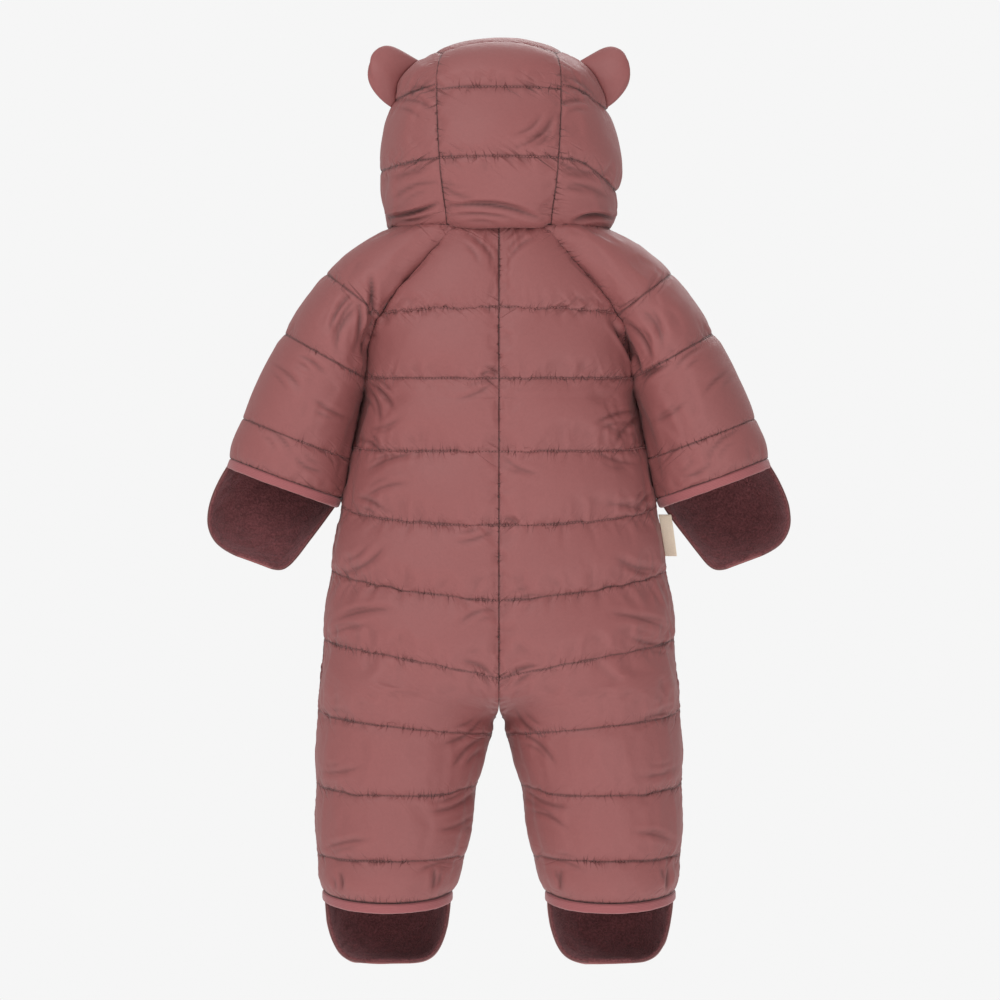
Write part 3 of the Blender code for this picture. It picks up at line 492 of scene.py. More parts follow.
def eased_rows(points, places, middle, reach):
    """Rounds a grid's run over the row at middle, over reach millimetres either way."""
    rounded = points.copy()
    run = line_lengths(points[:, points.shape[1] // 2])
    centre = np.interp(middle, places, run)
    for index in np.flatnonzero(np.abs(run - centre) < 2 * reach):
        width = reach * (1 - (np.abs(run[index] - centre) / (2 * reach)) ** 2) + 0.01
        weights = np.exp(-((run - run[index]) / width) ** 2)
        rounded[index] = np.tensordot(weights / weights.sum(), points, axes=1)
    return rounded


def turned_at_seam(outs, rows, near, fork, above):
    """Turns directions near a seam to the seam's own: above the fork as given, below it level."""
    upper = above(np.minimum(rows[:, 0], fork))[:, None, :]
    outs = np.where((rows <= fork)[..., None], towards(outs, upper, near), outs)
    lower = turned_down(level_out(outs), 1 - ease(rows, fork, fork + 0.3))
    return np.where((rows > fork)[..., None], towards(outs, lower, near), outs)


def left_by_press(place, rows, off, share):
    """Share of the padding's rise that is left where something presses it between four rows."""
    held = ease(place, *rows[:2]) * (1 - ease(place, *rows[2:]))
    return 1 - held * np.clip(1 - off / share, 0, 1)


def body_panel(face, step):
    """One half of the back or front, from the neck to the ankle and from the middle to the side."""
    def surface(share, place):
        return body_point(face, share, place)

    places = grid_places(BODY, lambda place: surface(0.5, place), step)
    rows = places[:, None]
    zipped = ZIP_HALF_WIDTH if face == FRONT else HALF_GAP
    low_gap = zipped + (HALF_GAP - zipped) * ease(places, ZIP_END, ZIP_END + ZIP_END_STEP)
    shares = grid_shares(surface, places, spaced(165.0, step), low_gap, HALF_GAP)
    place = np.broadcast_to(rows, shares.shape)
    sway = 0.014 * cloth_noise(shares * 15, place * 1.7, 7 + face)
    sway = sway * ease(np.minimum(place, 12 - place), 0.3, 1.0)
    swayed = place + sway * ease(np.minimum(shares, 1 - shares), 0.0, 0.1)
    inner, outs = (eased_rows(grid, places, CROTCH - 0.15, 14.0)
                   for grid in (surface(shares, swayed), body_normal(face, shares, place)))
    outs = level_at_neck(unit(outs), rows)
    outs = turned_at_seam(outs, rows, ease(shares, 0.92, 1.0), UNDERARM, lambda p: raglan_out(face, p))
    outs = turned_at_seam(outs, rows, 1 - ease(shares, 0.0, 0.14), CROTCH, lambda p: centre_out(face, p))
    loft = BODY_LOFT * channel_loft(BODY, place) * edge_loft(shares)
    loft *= left_by_press(place, ARM_PRESS_ROWS, 1 - shares, ARM_PRESS_SHARE)
    loft *= left_by_press(place, THIGH_PRESS_ROWS, shares, THIGH_PRESS_SHARE)
    loft += np.interp(place, *BODY_BY_ARM) * ease(shares, 0.8, 1.0)
    flat_lines = BODY_FLAT if face == BACK else {}
    return lay_panel(inner, outs, SEAM_WALL + loft, places, BODY_LOFT, BODY, flat_lines, calm=5.0)


def sleeve_panel(step):
    """A raglan sleeve, from the neck to the cuff and all the way round from its seam."""
    places = grid_places(SLEEVE, lambda place: sleeve_point(0.0, place), step)
    rows = places[:, None]
    shares = 2 * grid_shares(lambda share, place: sleeve_point(2 * share - 1, place), places,
                             spaced(250.0, step), HALF_GAP, HALF_GAP) - 1
    place = np.broadcast_to(rows, shares.shape)
    outs = level_at_neck(sleeve_normal(shares, place), rows)
    for face in (BACK, FRONT):
        near = ease(face * shares, 0.86, 1.0)
        outs = turned_at_seam(outs, rows, near, UNDERARM, lambda p: raglan_out(face, p))
    loft = SLEEVE_LOFT * channel_loft(SLEEVE, place) * edge_loft((shares + 1) / 2)
    pressed = np.clip(1 - (1 - np.abs(shares)) / ARM_PRESS_SHARE, 0, 1)
    loft *= 1 - ease(place, *ARM_PRESS_ROWS[:2]) * pressed
    loft *= 1 - 0.6 * np.exp(-(shares / 0.4) ** 2)
    # the sleeve lies a little over the body's side, so that nothing shows between them
    over = 0.9 * np.exp(-((shares + 0.922) / 0.045) ** 2)
    loft += np.interp(place, *ARM_BY_BODY) * (ease(np.abs(shares), 0.8, 1.0) + over)
    inner = sleeve_point(shares, place)
    return lay_panel(inner, outs, SEAM_WALL + loft, places, SLEEVE_LOFT, SLEEVE, {})


def nape_fall(places, droop):
    return droop * np.interp(places, (0.3, 2, 3.6), (0, 1, 0))


def hood_side_panel(step, droop=0.0, puff=1.0):
    """One side of the hood. droop is how far its nape line falls away from the strip, in rows.

    puff is the share of the padding's rise that shows below the crown line.
    """
    places = grid_places(HOOD, lambda p: hood_point(0.5, p), step)
    shares = grid_shares(hood_point, places, spaced(190.0, step), HALF_GAP, 0.0)
    lowered = ease(shares, 0.06, 0.5) * nape_fall(places, droop)[:, None]
    place = np.broadcast_to(places[:, None], shares.shape) - lowered
    rows = places[:, None]
    outs = level_at_neck(hood_normal(shares, place), rows)
    outs = towards(outs, crown_seam_out(places)[:, None, :], 1 - ease(shares, 0.0, 0.12))
    crown = crown_seam_out(CROWN + shares[-1])[None, :, :]
    outs = towards(outs, crown, ease(rows, CROWN - 0.25, CROWN))
    puffed = 1 - (1 - puff) * ease(shares, 0.1, 0.4) * (1 - ease(rows, 2.7, 3.1))
    wall = SEAM_WALL + HOOD_LOFT * puffed * channel_loft(HOOD, rows) * edge_loft(shares)
    return lay_panel(hood_point(shares, place), outs, wall, places, HOOD_LOFT, HOOD, {}, lean=-1.2)


def hood_centre_panel(step):
    """The hood's centre strip, from the nape over the crown to the face edge."""
    back = grid_places(HOOD, lambda place: strip_point(0.0, place), step)
    crown = strip_point(0.0, np.linspace(CROWN, CROWN + 1, 9))
    count = round(float(length_of(np.diff(crown, axis=0)).sum()) / step)
    places = np.concatenate([back, np.linspace(CROWN, CROWN + 1, count + 1)[1:]])
    across = 2 * grid_shares(lambda share, place: strip_point(2 * share - 1, place), places,
                             spaced(105.0, step), HALF_GAP, HALF_GAP) - 1
    rows = places[:, None]
    lowered = (0.1 + 0.06 * (1 - across ** 2)) * ease(rows, 2, 3) * (1 - ease(rows, 3, 4))
    place = rows - lowered
    outs = level_at_neck(strip_normal(across, place), rows)
    for side in (LEFT, RIGHT):
        seam = crown_seam_out(places) * [side, 1, 1]
        outs = towards(outs, seam[:, None, :], ease(side * across, 0.78, 1.0))
    on_crown = CROWN_PUFF * np.sin(np.pi * np.clip(rows - CROWN, 0, 1)) ** LOFT_ROUNDING
    loft = np.where(rows < CROWN, channel_loft(HOOD, np.minimum(rows, CROWN)), on_crown)
    wall = SEAM_WALL + HOOD_LOFT * loft * edge_loft((across + 1) / 2)
    inner = strip_point(across, place)
    return lay_panel(inner, outs, wall, places, HOOD_LOFT, HOOD, STRIP_FLAT, calm=1.5, lean=0.6)


# ---------------------------------------------------------------- creases laid one by one

# A trough with low ridges beside it, from one point to another as seen along +Y.
Crease = namedtuple("Crease", "x1 z1 x2 z2 bow width depth")
# CREASE_CORE is the width of the painted shade along a crease's bottom, which is full at FULL_DARK_DEPTH.
CREASE_NARROW, CREASE_CORE, FULL_DARK_DEPTH = 0.48, 1.3, 4

# Each row of these tables is one Crease.
BACK_CREASES = (
    # folds at the raglan seams and under the arms
    (-120, -66, -124, -108, 3, 4.5, 3), (-126, -58, -146, -92, -3, 4.5, 2.4),
    (110, -84, 132, -116, 3, 4.5, 3), (122, -138, 146, -120, 3, 4.5, 3.2),
    (-114, -134, -90, -158, 2, 4.5, 2.8), (-113, -138, -102, -170, 2, 4.5, 2.4),
    (-118, -184, -100, -198, 2, 4.5, 2.6), (-122, -234, -98, -246, 2, 4.5, 2.4),
    (100, -188, 121, -164, 2, 4.5, 2.6), (118, -248, 132, -230, 2, 4.5, 2.4),
    (84, -170, 116, -160, 2, 4.5, 2.2), (-12, -122, -3, -133, 4, 4, 2),
    (-16, -134, -4, -128, 4, 4, 2), (3, -252, 18, -262, 3, 4, 2),
    (-30, -6, -4, -32, 3, 4.5, 1.5), (33, -10, 8, -30, -3, 4.5, 1.4),
    # folds that run out from the side seams
    (-116, -212, -70, -196, 3, 6.5, 2), (-112, -176, -84, -166, -2, 5, 1.5),
    (-118, -236, -78, -222, 4, 6.5, 1.8), (-136, -300, -98, -276, -4, 7.5, 2.2),
    (-142, -340, -92, -330, 3, 6.5, 2.2), (-146, -352, -112, -344, 2, 5, 1.6),
    (122, -206, 76, -190, 4, 6.5, 1.8), (118, -180, 88, -170, 2, 5, 1.4),
    (134, -250, 92, -240, -3, 6.5, 1.6), (138, -296, 100, -286, 3, 7, 2),
    (146, -348, 96, -334, -3, 6.5, 2.2), (150, -362, 112, -354, 2, 5, 1.8),
    # folds at the centre seam
    (-3, -134, -36, -150, 3, 5, 1.4), (4, -200, 34, -214, -3, 5, 1.5),
    (-4, -262, -38, -272, 3, 5.5, 1.5), (4, -326, 42, -318, 3, 6, 1.6),
    (-4, -330, -34, -342, -3, 5.5, 1.6), (3, -392, 34, -378, 3, 6, 2.6),
    (-3, -390, -30, -374, -3, 6, 2.4),
    # folds on the legs
    (-14, -424, -48, -446, 4, 6, 2.6), (-12, -440, -40, -466, -3, 5.5, 2.2),
    (14, -416, 40, -440, -4, 6, 2.6), (16, -436, 48, -462, 4, 5.5, 2.4),
    (-152, -424, -118, -430, 3, 6.5, 1.8), (154, -420, 120, -428, -3, 6.5, 1.8),
    (-20, -488, -58, -504, 4, 5.5, 2.4), (-22, -508, -52, -520, 3, 5, 1.8),
    (22, -486, 60, -500, -4, 5.5, 2.4), (26, -504, 58, -518, 3, 5, 2),
    (-154, -470, -120, -466, -2, 6, 1.5), (155, -466, 122, -474, 2, 6, 1.5),
    (-150, -536, -112, -528, 2, 5.5, 1.8), (151, -530, 116, -522, -2, 5.5, 1.8),
    (-36, -548, -70, -556, -3, 5, 1.5), (38, -546, 72, -554, 3, 5, 1.5),
    (-56, -552, -57, -572, 1, 4.5, 3.2), (-138, -556, -136, -572, 1, 4.5, 2.8),
    (54, -554, 53, -572, -1, 4.5, 2.8), (146, -552, 145, -572, 1, 4.5, 3.4),
    # the long folds of the sleeves
    (-122, -70, -140, -110, -5, 7, 2.4), (-172, -112, -150, -128, 2, 5, 1.6),
    (-196, -118, -170, -142, 2, 5.5, 1.4), (-158, -150, -130, -166, -2, 5, 1.8),
    (-206, -172, -178, -196, 4, 6.5, 1.8), (-150, -212, -176, -198, 4, 5.5, 1.8),
    (124, -74, 140, -108, 5, 7, 2.2), (176, -104, 152, -122, -2, 5, 1.6),
    (200, -124, 176, -146, -2, 5.5, 1.4), (160, -152, 132, -170, 2, 5, 1.8),
    (208, -176, 180, -200, -4, 6.5, 1.8), (156, -216, 182, -204, -4, 5.5, 1.8),
    # the hood
    (-96, 3, -58, 8, -2, 4.5, 3), (-48, 15, 38, 4, 5, 5.5, 4),
    (-40, 8, 12, 5, 2, 4.5, 2), (-90, 108, -54, 97, 4, 5, 1.8),
    (-78, 118, -52, 112, 3, 4.5, 1.5), (48, 96, 15, 66, 6, 6, 2.2),
    (47, 90, 24, 74, 4, 4.5, 1.8), (46, 84, 30, 66, 3, 4.5, 1.8),
    (-50, 34, -22, 22, -3, 6, 1.8), (50, 102, 78, 106, 3, 5, 1.8),
    (52, 130, 86, 108, 4, 6, 1.8), (-60, 60, -96, 40, 5, 6.5, 1.6),
    (46, 58, 90, 44, -5, 6.5, 2.2), (56, 34, 96, 22, 4, 6.5, 2),
    (-54, 36, -92, 22, -4, 6.5, 1.8),
)

# Deep folds on the back that lie over themselves, across quilt lines too, with painted shade in their
# bottoms.
BACK_FOLDS = (
    (-110, -44, -110, -92, 1.5, 5.5, 5), (-110, -82, -117, -114, -1.5, 5.5, 4.5),
    (97, -84, 122, -130, 3, 5.5, 5), (120, -134, 136, -124, 2, 4.5, 3.4),
    (-102, 6, -52, 18, -3, 4.5, 4.6), (64, 3, 104, 5, 4, 4.5, 5),
)

# The hidden front's own folds, seen along +Y too.
FRONT_CREASES = (
    (-112, -56, -116, -112, 4, 6, 3.6), (110, -60, 116, -110, -4, 6, 3.4),
    (-96, -84, -60, -96, 4, 6.5, 1.8), (100, -92, 62, -100, -4, 6.5, 1.8),
    (-116, -196, -76, -206, 3, 6.5, 2), (118, -214, 80, -200, -3, 6.5, 2),
    (-132, -262, -96, -250, -3, 7, 1.8), (134, -278, 98, -266, 3, 7, 1.8),
    (-142, -338, -96, -326, 3, 6.5, 2.2), (144, -346, 98, -336, -3, 6.5, 2.2),
    (-10, -372, -44, -356, 4, 6, 2.4), (10, -376, 46, -362, -4, 6, 2.4),
    (-14, -430, -46, -452, 4, 6, 2.4), (15, -424, 44, -448, -4, 6, 2.4),
    (-20, -494, -56, -508, 4, 5.5, 2.2), (22, -498, 58, -512, -4, 5.5, 2.2),
    (-152, -440, -118, -448, 3, 6.5, 1.8), (153, -446, 120, -440, -3, 6.5, 1.8),
    (-150, -524, -114, -532, 2, 5.5, 1.8), (151, -536, 116, -528, -2, 5.5, 1.8),
    (-178, -112, -150, -158, 7, 8, 2.4), (180, -110, 152, -154, -7, 8, 2.4),
    (-150, -152, -140, -190, -5, 6.5, 2.4), (148, -156, 142, -192, 5, 6.5, 2.4),
    (-206, -180, -180, -202, 4, 6.5, 1.8), (208, -174, 182, -198, -4, 6.5, 1.8),
    (-90, 8, -56, 16, -4, 6.5, 3.6), (88, 6, 58, 15, 4, 6.5, 3.6),
)


def crease_frame(crease):
    """Where a crease starts, its run and the direction square to that."""
    start = np.array([crease.x1, crease.z1])
    run = np.array([crease.x2, crease.z2]) - start
    return start, run, np.array([-run[1], run[0]]) / np.linalg.norm(run)


def with_companions(creases):
    """Every crease, and beside it a shorter and weaker one."""
    chance = np.random.default_rng(41)
    for crease in map(Crease._make, creases):
        yield crease
        start, run, square = crease_frame(crease)
        off = chance.uniform(4.0, 7.5) * chance.choice((-1, 1))
        start = start + run * chance.uniform(0, 0.3) + square * off
        end = start + run * chance.uniform(0.4, 0.7) + square * chance.uniform(-3, 3)
        yield Crease(*start, *end, 0.6 * crease.bow, 0.8 * crease.width, 0.6 * crease.depth)


def crease_relief(x, z, creases):
    """Height of all creases at points seen along +Y, and the painted shade in their bottoms."""
    relief, crease_shade = np.zeros_like(x), np.zeros_like(x)
    along = np.linspace(0, 1, 65)
    for crease in creases:
        start, run, square = crease_frame(crease)
        line = start + run * along[:, None] + square * (crease.bow * np.sin(np.pi * along))[:, None]
        reach = 3.2 * crease.width
        low, high = line.min(axis=0) - reach, line.max(axis=0) + reach
        near = (x > low[0]) & (x < high[0]) & (z > low[1]) & (z < high[1])
        if not near.any():
            continue
        gaps = np.hypot(x[near][:, None] - line[None, :, 0], z[near][:, None] - line[None, :, 1])
        off = gaps.min(axis=1)
        gap = off / (CREASE_NARROW * crease.width)
        taper = np.sin(np.pi * np.clip(along[gaps.argmin(axis=1)], 0.03, 0.97)) ** 0.7
        ridge = 0.32 * np.exp(-((gap - 2.0) / 0.8) ** 2)
        relief[near] -= crease.depth * taper * (np.exp(-gap ** 1.5) - ridge)
        # painted shade along the crease's bottom, stronger where it is deeper
        dark = taper * np.exp(-(off / CREASE_CORE) ** 2) * crease.depth / FULL_DARK_DEPTH
        crease_shade[near] = np.maximum(crease_shade[near], dark)
    return relief, crease_shade


def with_creases(points, outs, panel, side, settings):
    """The panel's outer points with the creases of the side that they face, and the painted shade in their
    bottoms.

    Creases are held back near seams and quilt lines. Folds run across quilt lines at full height.
    """
    x, y, z = (side * points[..., 0], points[..., 1], points[..., 2])
    hold = np.maximum(ease(np.minimum(panel.edges, panel.lines), 0.0, 5.0), 0.25)
    off_seam = ease(panel.edges, 0.0, 2.5)
    relief, crease_shade = np.zeros_like(x), np.zeros_like(x)
    for face, creases in ((FRONT, FRONT_CREASES), (BACK, BACK_CREASES)):
        turned = ease(face * y, -2.0, 14.0)
        heights, dark = crease_relief(x, z, with_companions(creases))
        relief += hold * turned * heights
        crease_shade = np.maximum(crease_shade, turned * off_seam * dark)
    folds, cores = (turned * off_seam * values
                    for values in crease_relief(x, z, map(Crease._make, BACK_FOLDS)))
    relief = (relief + folds) * settings.crease_strength
    # painted shade in the bottoms of the back's folds, their cores and the creases
    deep = np.max([0.6 * ease(-folds, 1.0, 4.0), np.minimum(cores, 1.0), 0.85 * crease_shade], axis=0)
    return points + outs * relief[..., None], deep


# Distances from the seams that gather at which their pull begins to fade, and has gone.
PULL_FADES = (18.0, 95.0)


def towards_side(panel):
    """0 at the middle of the back or front and 1 at the seams that gather."""
    return 1 - ease(panel.seams, *PULL_FADES)


def pinched(values, width):
    """1 in thin valleys where the noise crosses zero, 0 elsewhere."""
    return np.exp(-(values / width) ** 2)


def with_puckers(points, outs, panel, side, seed, settings):
    """Gathers that run out from quilt lines and seams, and a slow unevenness between them."""
    u, v = panel.u + 500, panel.v + 500
    seed = seed * 10 + (1 if side == RIGHT else 2)
    off_line, off_edge = panel.lines, panel.seams
    leaning = u + panel.lean * v + 0.8 * cloth_noise(u / 30.0, v / 40.0, seed + 8) * off_line
    reach = 4.0 + 6.0 * (0.5 + 0.5 * cloth_noise(u / 14.0, v / 50.0, seed + 9))
    by_line = np.exp(-off_line / reach) * ease(off_line, 0.0, 1.4) * (0.35 + 0.65 * towards_side(panel))
    ticks = np.exp(-off_line / 3.0) * ease(off_line, 0.0, 1.2)
    by_edge = np.exp(-off_edge / 9.0) * ease(off_edge, 0.0, 1.6)
    gathers = (0.5 * cloth_noise(leaning / 8.0, v / 26.0, seed)
               - 1.0 * pinched(cloth_noise(leaning / 12.0, v / 30.0, seed + 1), 0.2)
               - 0.7 * pinched(cloth_noise(leaning / 19.0, v / 34.0, seed + 6), 0.12))
    small = (cloth_noise(u / 3.4, v / 26.0, seed + 10)
             - pinched(cloth_noise(u / 6.0, v / 30.0, seed + 11), 0.16))
    drift = 0.7 * cloth_noise(u / 40.0, v / 30.0, seed + 7) * off_edge
    pulls = (0.4 * cloth_noise(u / 22.0, (v + drift) / 4.6, seed + 2)
             - 0.9 * pinched(cloth_noise(u / 26.0, (v + drift) / 7.5, seed + 3), 0.18))
    slow = cloth_noise(u / 34.0, v / 22.0, seed + 4) + 0.5 * cloth_noise(u / 15.0, v / 12.0, seed + 5)
    middle = ease(np.minimum(off_line, off_edge), 0.0, 9.0)
    height = settings.pucker * (1.4 * gathers * by_line + 0.4 * small * ticks + 1.1 * pulls * by_edge)
    height += 0.45 * slow * middle
    return points + outs * height[..., None]


# ---------------------------------------------------------------- meshes

def mesh_from(name, bm):
    mesh = bpy.data.meshes.new(name)
    bm.to_mesh(mesh)
    bm.free()
    return mesh


def link(name, data):
    made = bpy.data.objects.new(name, data)
    bpy.context.scene.collection.objects.link(made)
    return made


def finished(name, bm, material, smooth=False):
    """A new object with the bmesh's faces and one material."""
    mesh = mesh_from(name, bm)
    mesh.materials.append(material)
    if smooth:
        mesh.shade_smooth()
    return link(name, mesh)


def belongs(piece, node=None):
    """Fixes a piece to the suit and in the place of the node it stands for."""
    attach(piece, "suit")
    if node:
        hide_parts(node)
    return piece


# The cloth simulation's own settings. "sewn" is the group of points that seams and quilt lines pin.
CLOTH = {"quality": 5, "mass": 0.15, "tension_stiffness": 12, "compression_stiffness": 12,
         "shear_stiffness": 4, "tension_damping": 12, "compression_damping": 12,
         "vertex_group_mass": "sewn", "use_pressure": True}


def settle(sheets, settings, give=1.0):
    """Lets the cloth of several sheets billow and gather between its stitched rows, all at once.

    Each sheet is (name, points, pinned mask), and give a share of the settling limit.
    Returns the points that it settles to.
    """
    actors = []
    for name, points, pinned in sheets:
        bm = bmesh.new()
        bmesh.ops.create_grid(bm, x_segments=points.shape[1] - 1, y_segments=points.shape[0] - 1, size=1.0)
        mesh = mesh_from(name, bm)
        mesh.vertices.foreach_set("co", (points * MM).astype(np.float32).ravel())
        mesh.update()
        actor = link(name, mesh)
        group = actor.vertex_groups.new(name="sewn")
        group.add([int(index) for index in np.flatnonzero(pinned.ravel())], 1.0, "REPLACE")
        cloth = actor.modifiers.new("cloth", "CLOTH")
        chosen = {"bending_stiffness": settings.stiffness, "uniform_pressure_force": settings.pressure,
                  "shrink_min": -settings.slack, "shrink_max": -settings.slack}
        for key, value in {**CLOTH, **chosen}.items():
            setattr(cloth.settings, key, value)
        cloth.settings.effector_weights.gravity = 0
        cloth.collision_settings.use_collision = False
        actors.append(actor)
    for step in range(1, settings.settle_steps + 1):
        bpy.context.scene.frame_set(step)
    graph = bpy.context.evaluated_depsgraph_get()
    cap = settings.settle_cap * give
    settled = []
    for actor, (name, points, pinned) in zip(actors, sheets):
        mesh = actor.evaluated_get(graph).data
        moved = np.zeros(len(mesh.vertices) * 3, np.float32)
        mesh.vertices.foreach_get("co", moved)
        step = moved.reshape(points.shape).astype(float) / MM - points
        far = np.maximum(length_of(step), 1e-6)
        step *= (cap * np.tanh(far / cap) / far)[..., None]
        around = sum(np.roll(step, turn, axis) for axis in (0, 1) for turn in (1, -1))
        step = 0.5 * step + 0.125 * around
        step[pinned] = 0
        step *= (1 - LEG_CALM * ease(-points[..., 2], LEG_CALM_FROM, LEG_CALM_TO))[..., None]
        settled.append(points + step)
    for actor in actors:
        bpy.data.meshes.remove(actor.data)
    bpy.context.scene.frame_set(1)
    return settled


def wall_piece(name, node, slot, inner, outer, side, u, v, **values):
    """A closed wall between two grids of points, in a node's place.

    Its UV map is in metres along and across the cloth, and values are what its finish reads outside.
    """
    rows, columns = inner.shape[0] - 1, inner.shape[1] - 1
    bm = bmesh.new()
    layer = bm.verts.layers.int.new("outside")
    bmesh.ops.create_grid(bm, x_segments=columns, y_segments=rows, size=1.0)
    for face in bm.faces:
        face.material_index = 1
    made = bmesh.ops.extrude_face_region(bm, geom=list(bm.faces), use_keep_orig=True)
    for item in made["geom"]:
        if isinstance(item, bmesh.types.BMVert):
            item[layer] = 1
    for face in bm.faces:
        if any(vert[layer] for vert in face.verts):
            face.material_index = 0
    mesh = mesh_from(name, bm)
    flat = np.zeros(len(mesh.vertices) * 3, np.float32)
    mesh.vertices.foreach_get("co", flat)
    flat = flat.reshape(-1, 3)
    row = np.rint((flat[:, 1] + 1) / 2 * rows).astype(int)
    column = np.rint((flat[:, 0] + 1) / 2 * columns).astype(int)
    out = np.zeros(len(flat), np.int32)
    mesh.attributes["outside"].data.foreach_get("value", out)
    mesh.attributes.remove(mesh.attributes["outside"])
    points = np.where(out[:, None] == 1, outer[row, column], inner[row, column])
    points = points * [side, 1, 1] * MM
    mesh.vertices.foreach_set("co", points.astype(np.float32).ravel())
    mesh.update()
    point_outward(mesh)
    shift = LEFT_UV_SHIFT if side == LEFT else 0.0
    along = np.stack([u[row, column] * MM + shift, v[row, column] * MM], -1)
    index = np.zeros(len(mesh.loops), np.int32)
    mesh.loops.foreach_get("vertex_index", index)
    mesh.uv_layers.new(name="cloth").data.foreach_set("uv", along[index].astype(np.float32).ravel())
    for key, grid in values.items():
        shown = np.where(out == 1, grid[row, column], 0.0).astype(np.float32)
        mesh.attributes.new(key, "FLOAT", "POINT").data.foreach_set("value", shown)
    for finish in (slot, "inside" if slot == "shell" else slot):
        mesh.materials.append(finish_named(finish))
    mesh.shade_smooth()
    return belongs(link(name, mesh), node)


# The left pieces read another part of each cloth pattern, this many metres along.
LEFT_UV_SHIFT = 0.37


def point_outward(mesh):
    """Turns a closed mesh's faces outwards."""
    bm = bmesh.new()
    bm.from_mesh(mesh)
    bmesh.ops.recalc_face_normals(bm, faces=bm.faces)
    if bm.calc_volume(signed=True) < 0:
        bmesh.ops.reverse_faces(bm, faces=bm.faces)
    bm.to_mesh(mesh)
    bm.free()


# ---------------------------------------------------------------- finishes

class Value:
    """A number on a shader socket. Arithmetic on it adds Math nodes."""

    def __init__(self, finish, socket):
        self.finish = finish
        self.socket = socket

    def maths(self, operation, *numbers):
        return Value(self.finish, self.finish.node("ShaderNodeMath", {"operation": operation}, *numbers))

    def __add__(self, other):
        return self.maths("ADD", self, other)

    __radd__ = __add__

    def __sub__(self, other):
        return self.maths("SUBTRACT", self, other)

    def __rsub__(self, other):
        return self.maths("SUBTRACT", other, self)

    def __mul__(self, other):
        return self.maths("MULTIPLY", self, other)

    __rmul__ = __mul__

    def __truediv__(self, other):
        return self.maths("DIVIDE", self, other)

    def __rtruediv__(self, other):
        return self.maths("DIVIDE", other, self)

    def __pow__(self, other):
        return self.maths("POWER", self, other)

    def __rpow__(self, other):
        return self.maths("POWER", other, self)

    def sine(self):
        return self.maths("SINE", self)

    def absolute(self):
        return self.maths("ABSOLUTE", self)

    def between(self, low, high):
        """0 at low and 1 at high, smooth."""
        return Value(self.finish, self.finish.node(
            "ShaderNodeMapRange", {"interpolation_type": "SMOOTHSTEP"}, self, low, high))


class Finish:
    """A material whose nodes are added by node(). constants are set on its shader's sockets."""

    def __init__(self, name, **constants):
        self.material = bpy.data.materials.new(name)
        self.material.use_nodes = True
        self.tree = self.material.node_tree
        self.shader = self.tree.nodes["Principled BSDF"]
        for socket, value in constants.items():
            self.shader.inputs[socket.replace("_", " ")].default_value = value

    def feed(self, socket, value):
        """Links a value or another socket to a socket, or sets its constant."""
        if isinstance(value, Value):
            value = value.socket
        if isinstance(value, bpy.types.NodeSocket):
            self.tree.links.new(value, socket)
        elif value is not None:
            socket.default_value = value

    def node(self, kind, settings, *values, output=0, **named):
        made = self.tree.nodes.new(kind)
        for key, value in settings.items():
            setattr(made, key, value)
        for key, value in enumerate(values):
            self.feed(made.inputs[key], value)
        for key, value in named.items():
            self.feed(made.inputs[key.replace("_", " ")], value)
        return made.outputs[output]

    def coordinates(self, scale=(1, 1, 1)):
        where = self.node("ShaderNodeTexCoord", {}, output="Object")
        return self.node("ShaderNodeMapping", {}, where, Scale=scale)

    def cloth_map(self, scale=(1, 1, 1), turn=0.0):
        where = self.node("ShaderNodeUVMap", {"uv_map": "cloth"})
        if turn:
            where = self.node("ShaderNodeMapping", {}, where, Rotation=(0, 0, turn))
        return self.node("ShaderNodeMapping", {}, where, Scale=scale)

    def noise(self, where, scale, detail=2.0, roughness=0.5):
        return Value(self, self.node(
            "ShaderNodeTexNoise", {"noise_dimensions": "3D"}, where, None, scale, detail, roughness))

    def wave(self, where, axis, pitch):
        """A wave from -1 to 1 along one axis, once in each pitch in metres."""
        along = Value(self, self.node("ShaderNodeSeparateXYZ", {}, where, output=axis))
        return (along * (2 * math.pi / pitch)).sine()

    def value_of(self, name):
        return Value(self, self.node("ShaderNodeAttribute", {"attribute_name": name}, output="Fac"))

    def blend(self, share, first, second):
        """A mix of two colours, each a socket or a plain colour."""
        colours = [(*colour, 1.0) if isinstance(colour, tuple) else colour for colour in (first, second)]
        unused = [None] * 5
        return self.node("ShaderNodeMix", {"data_type": "RGBA"}, share, *unused, *colours, output=2)

    def mottle(self, tone, low, high, colour, dark, light):
        """A colour's darker shade where the tone is low and its lighter shade where it is high."""
        return self.blend(tone.between(low, high), shade(colour, dark), shade(colour, light))

    def set(self, name, value):
        self.feed(self.shader.inputs[name], value)

    def raise_by(self, *reliefs):
        """Bumps one on another, each (height, distance in metres, strength)."""
        normal = None
        for height, distance, strength in reliefs:
            normal = self.node(
                "ShaderNodeBump", {}, Strength=strength, Distance=distance, Height=height, Normal=normal)
        self.set("Normal", normal)


def shade(colour, factor):
    return tuple(min(1.0, channel * factor) for channel in colour)


NYLON_PITCH, RIB_PITCH = 0.0011, 0.0013


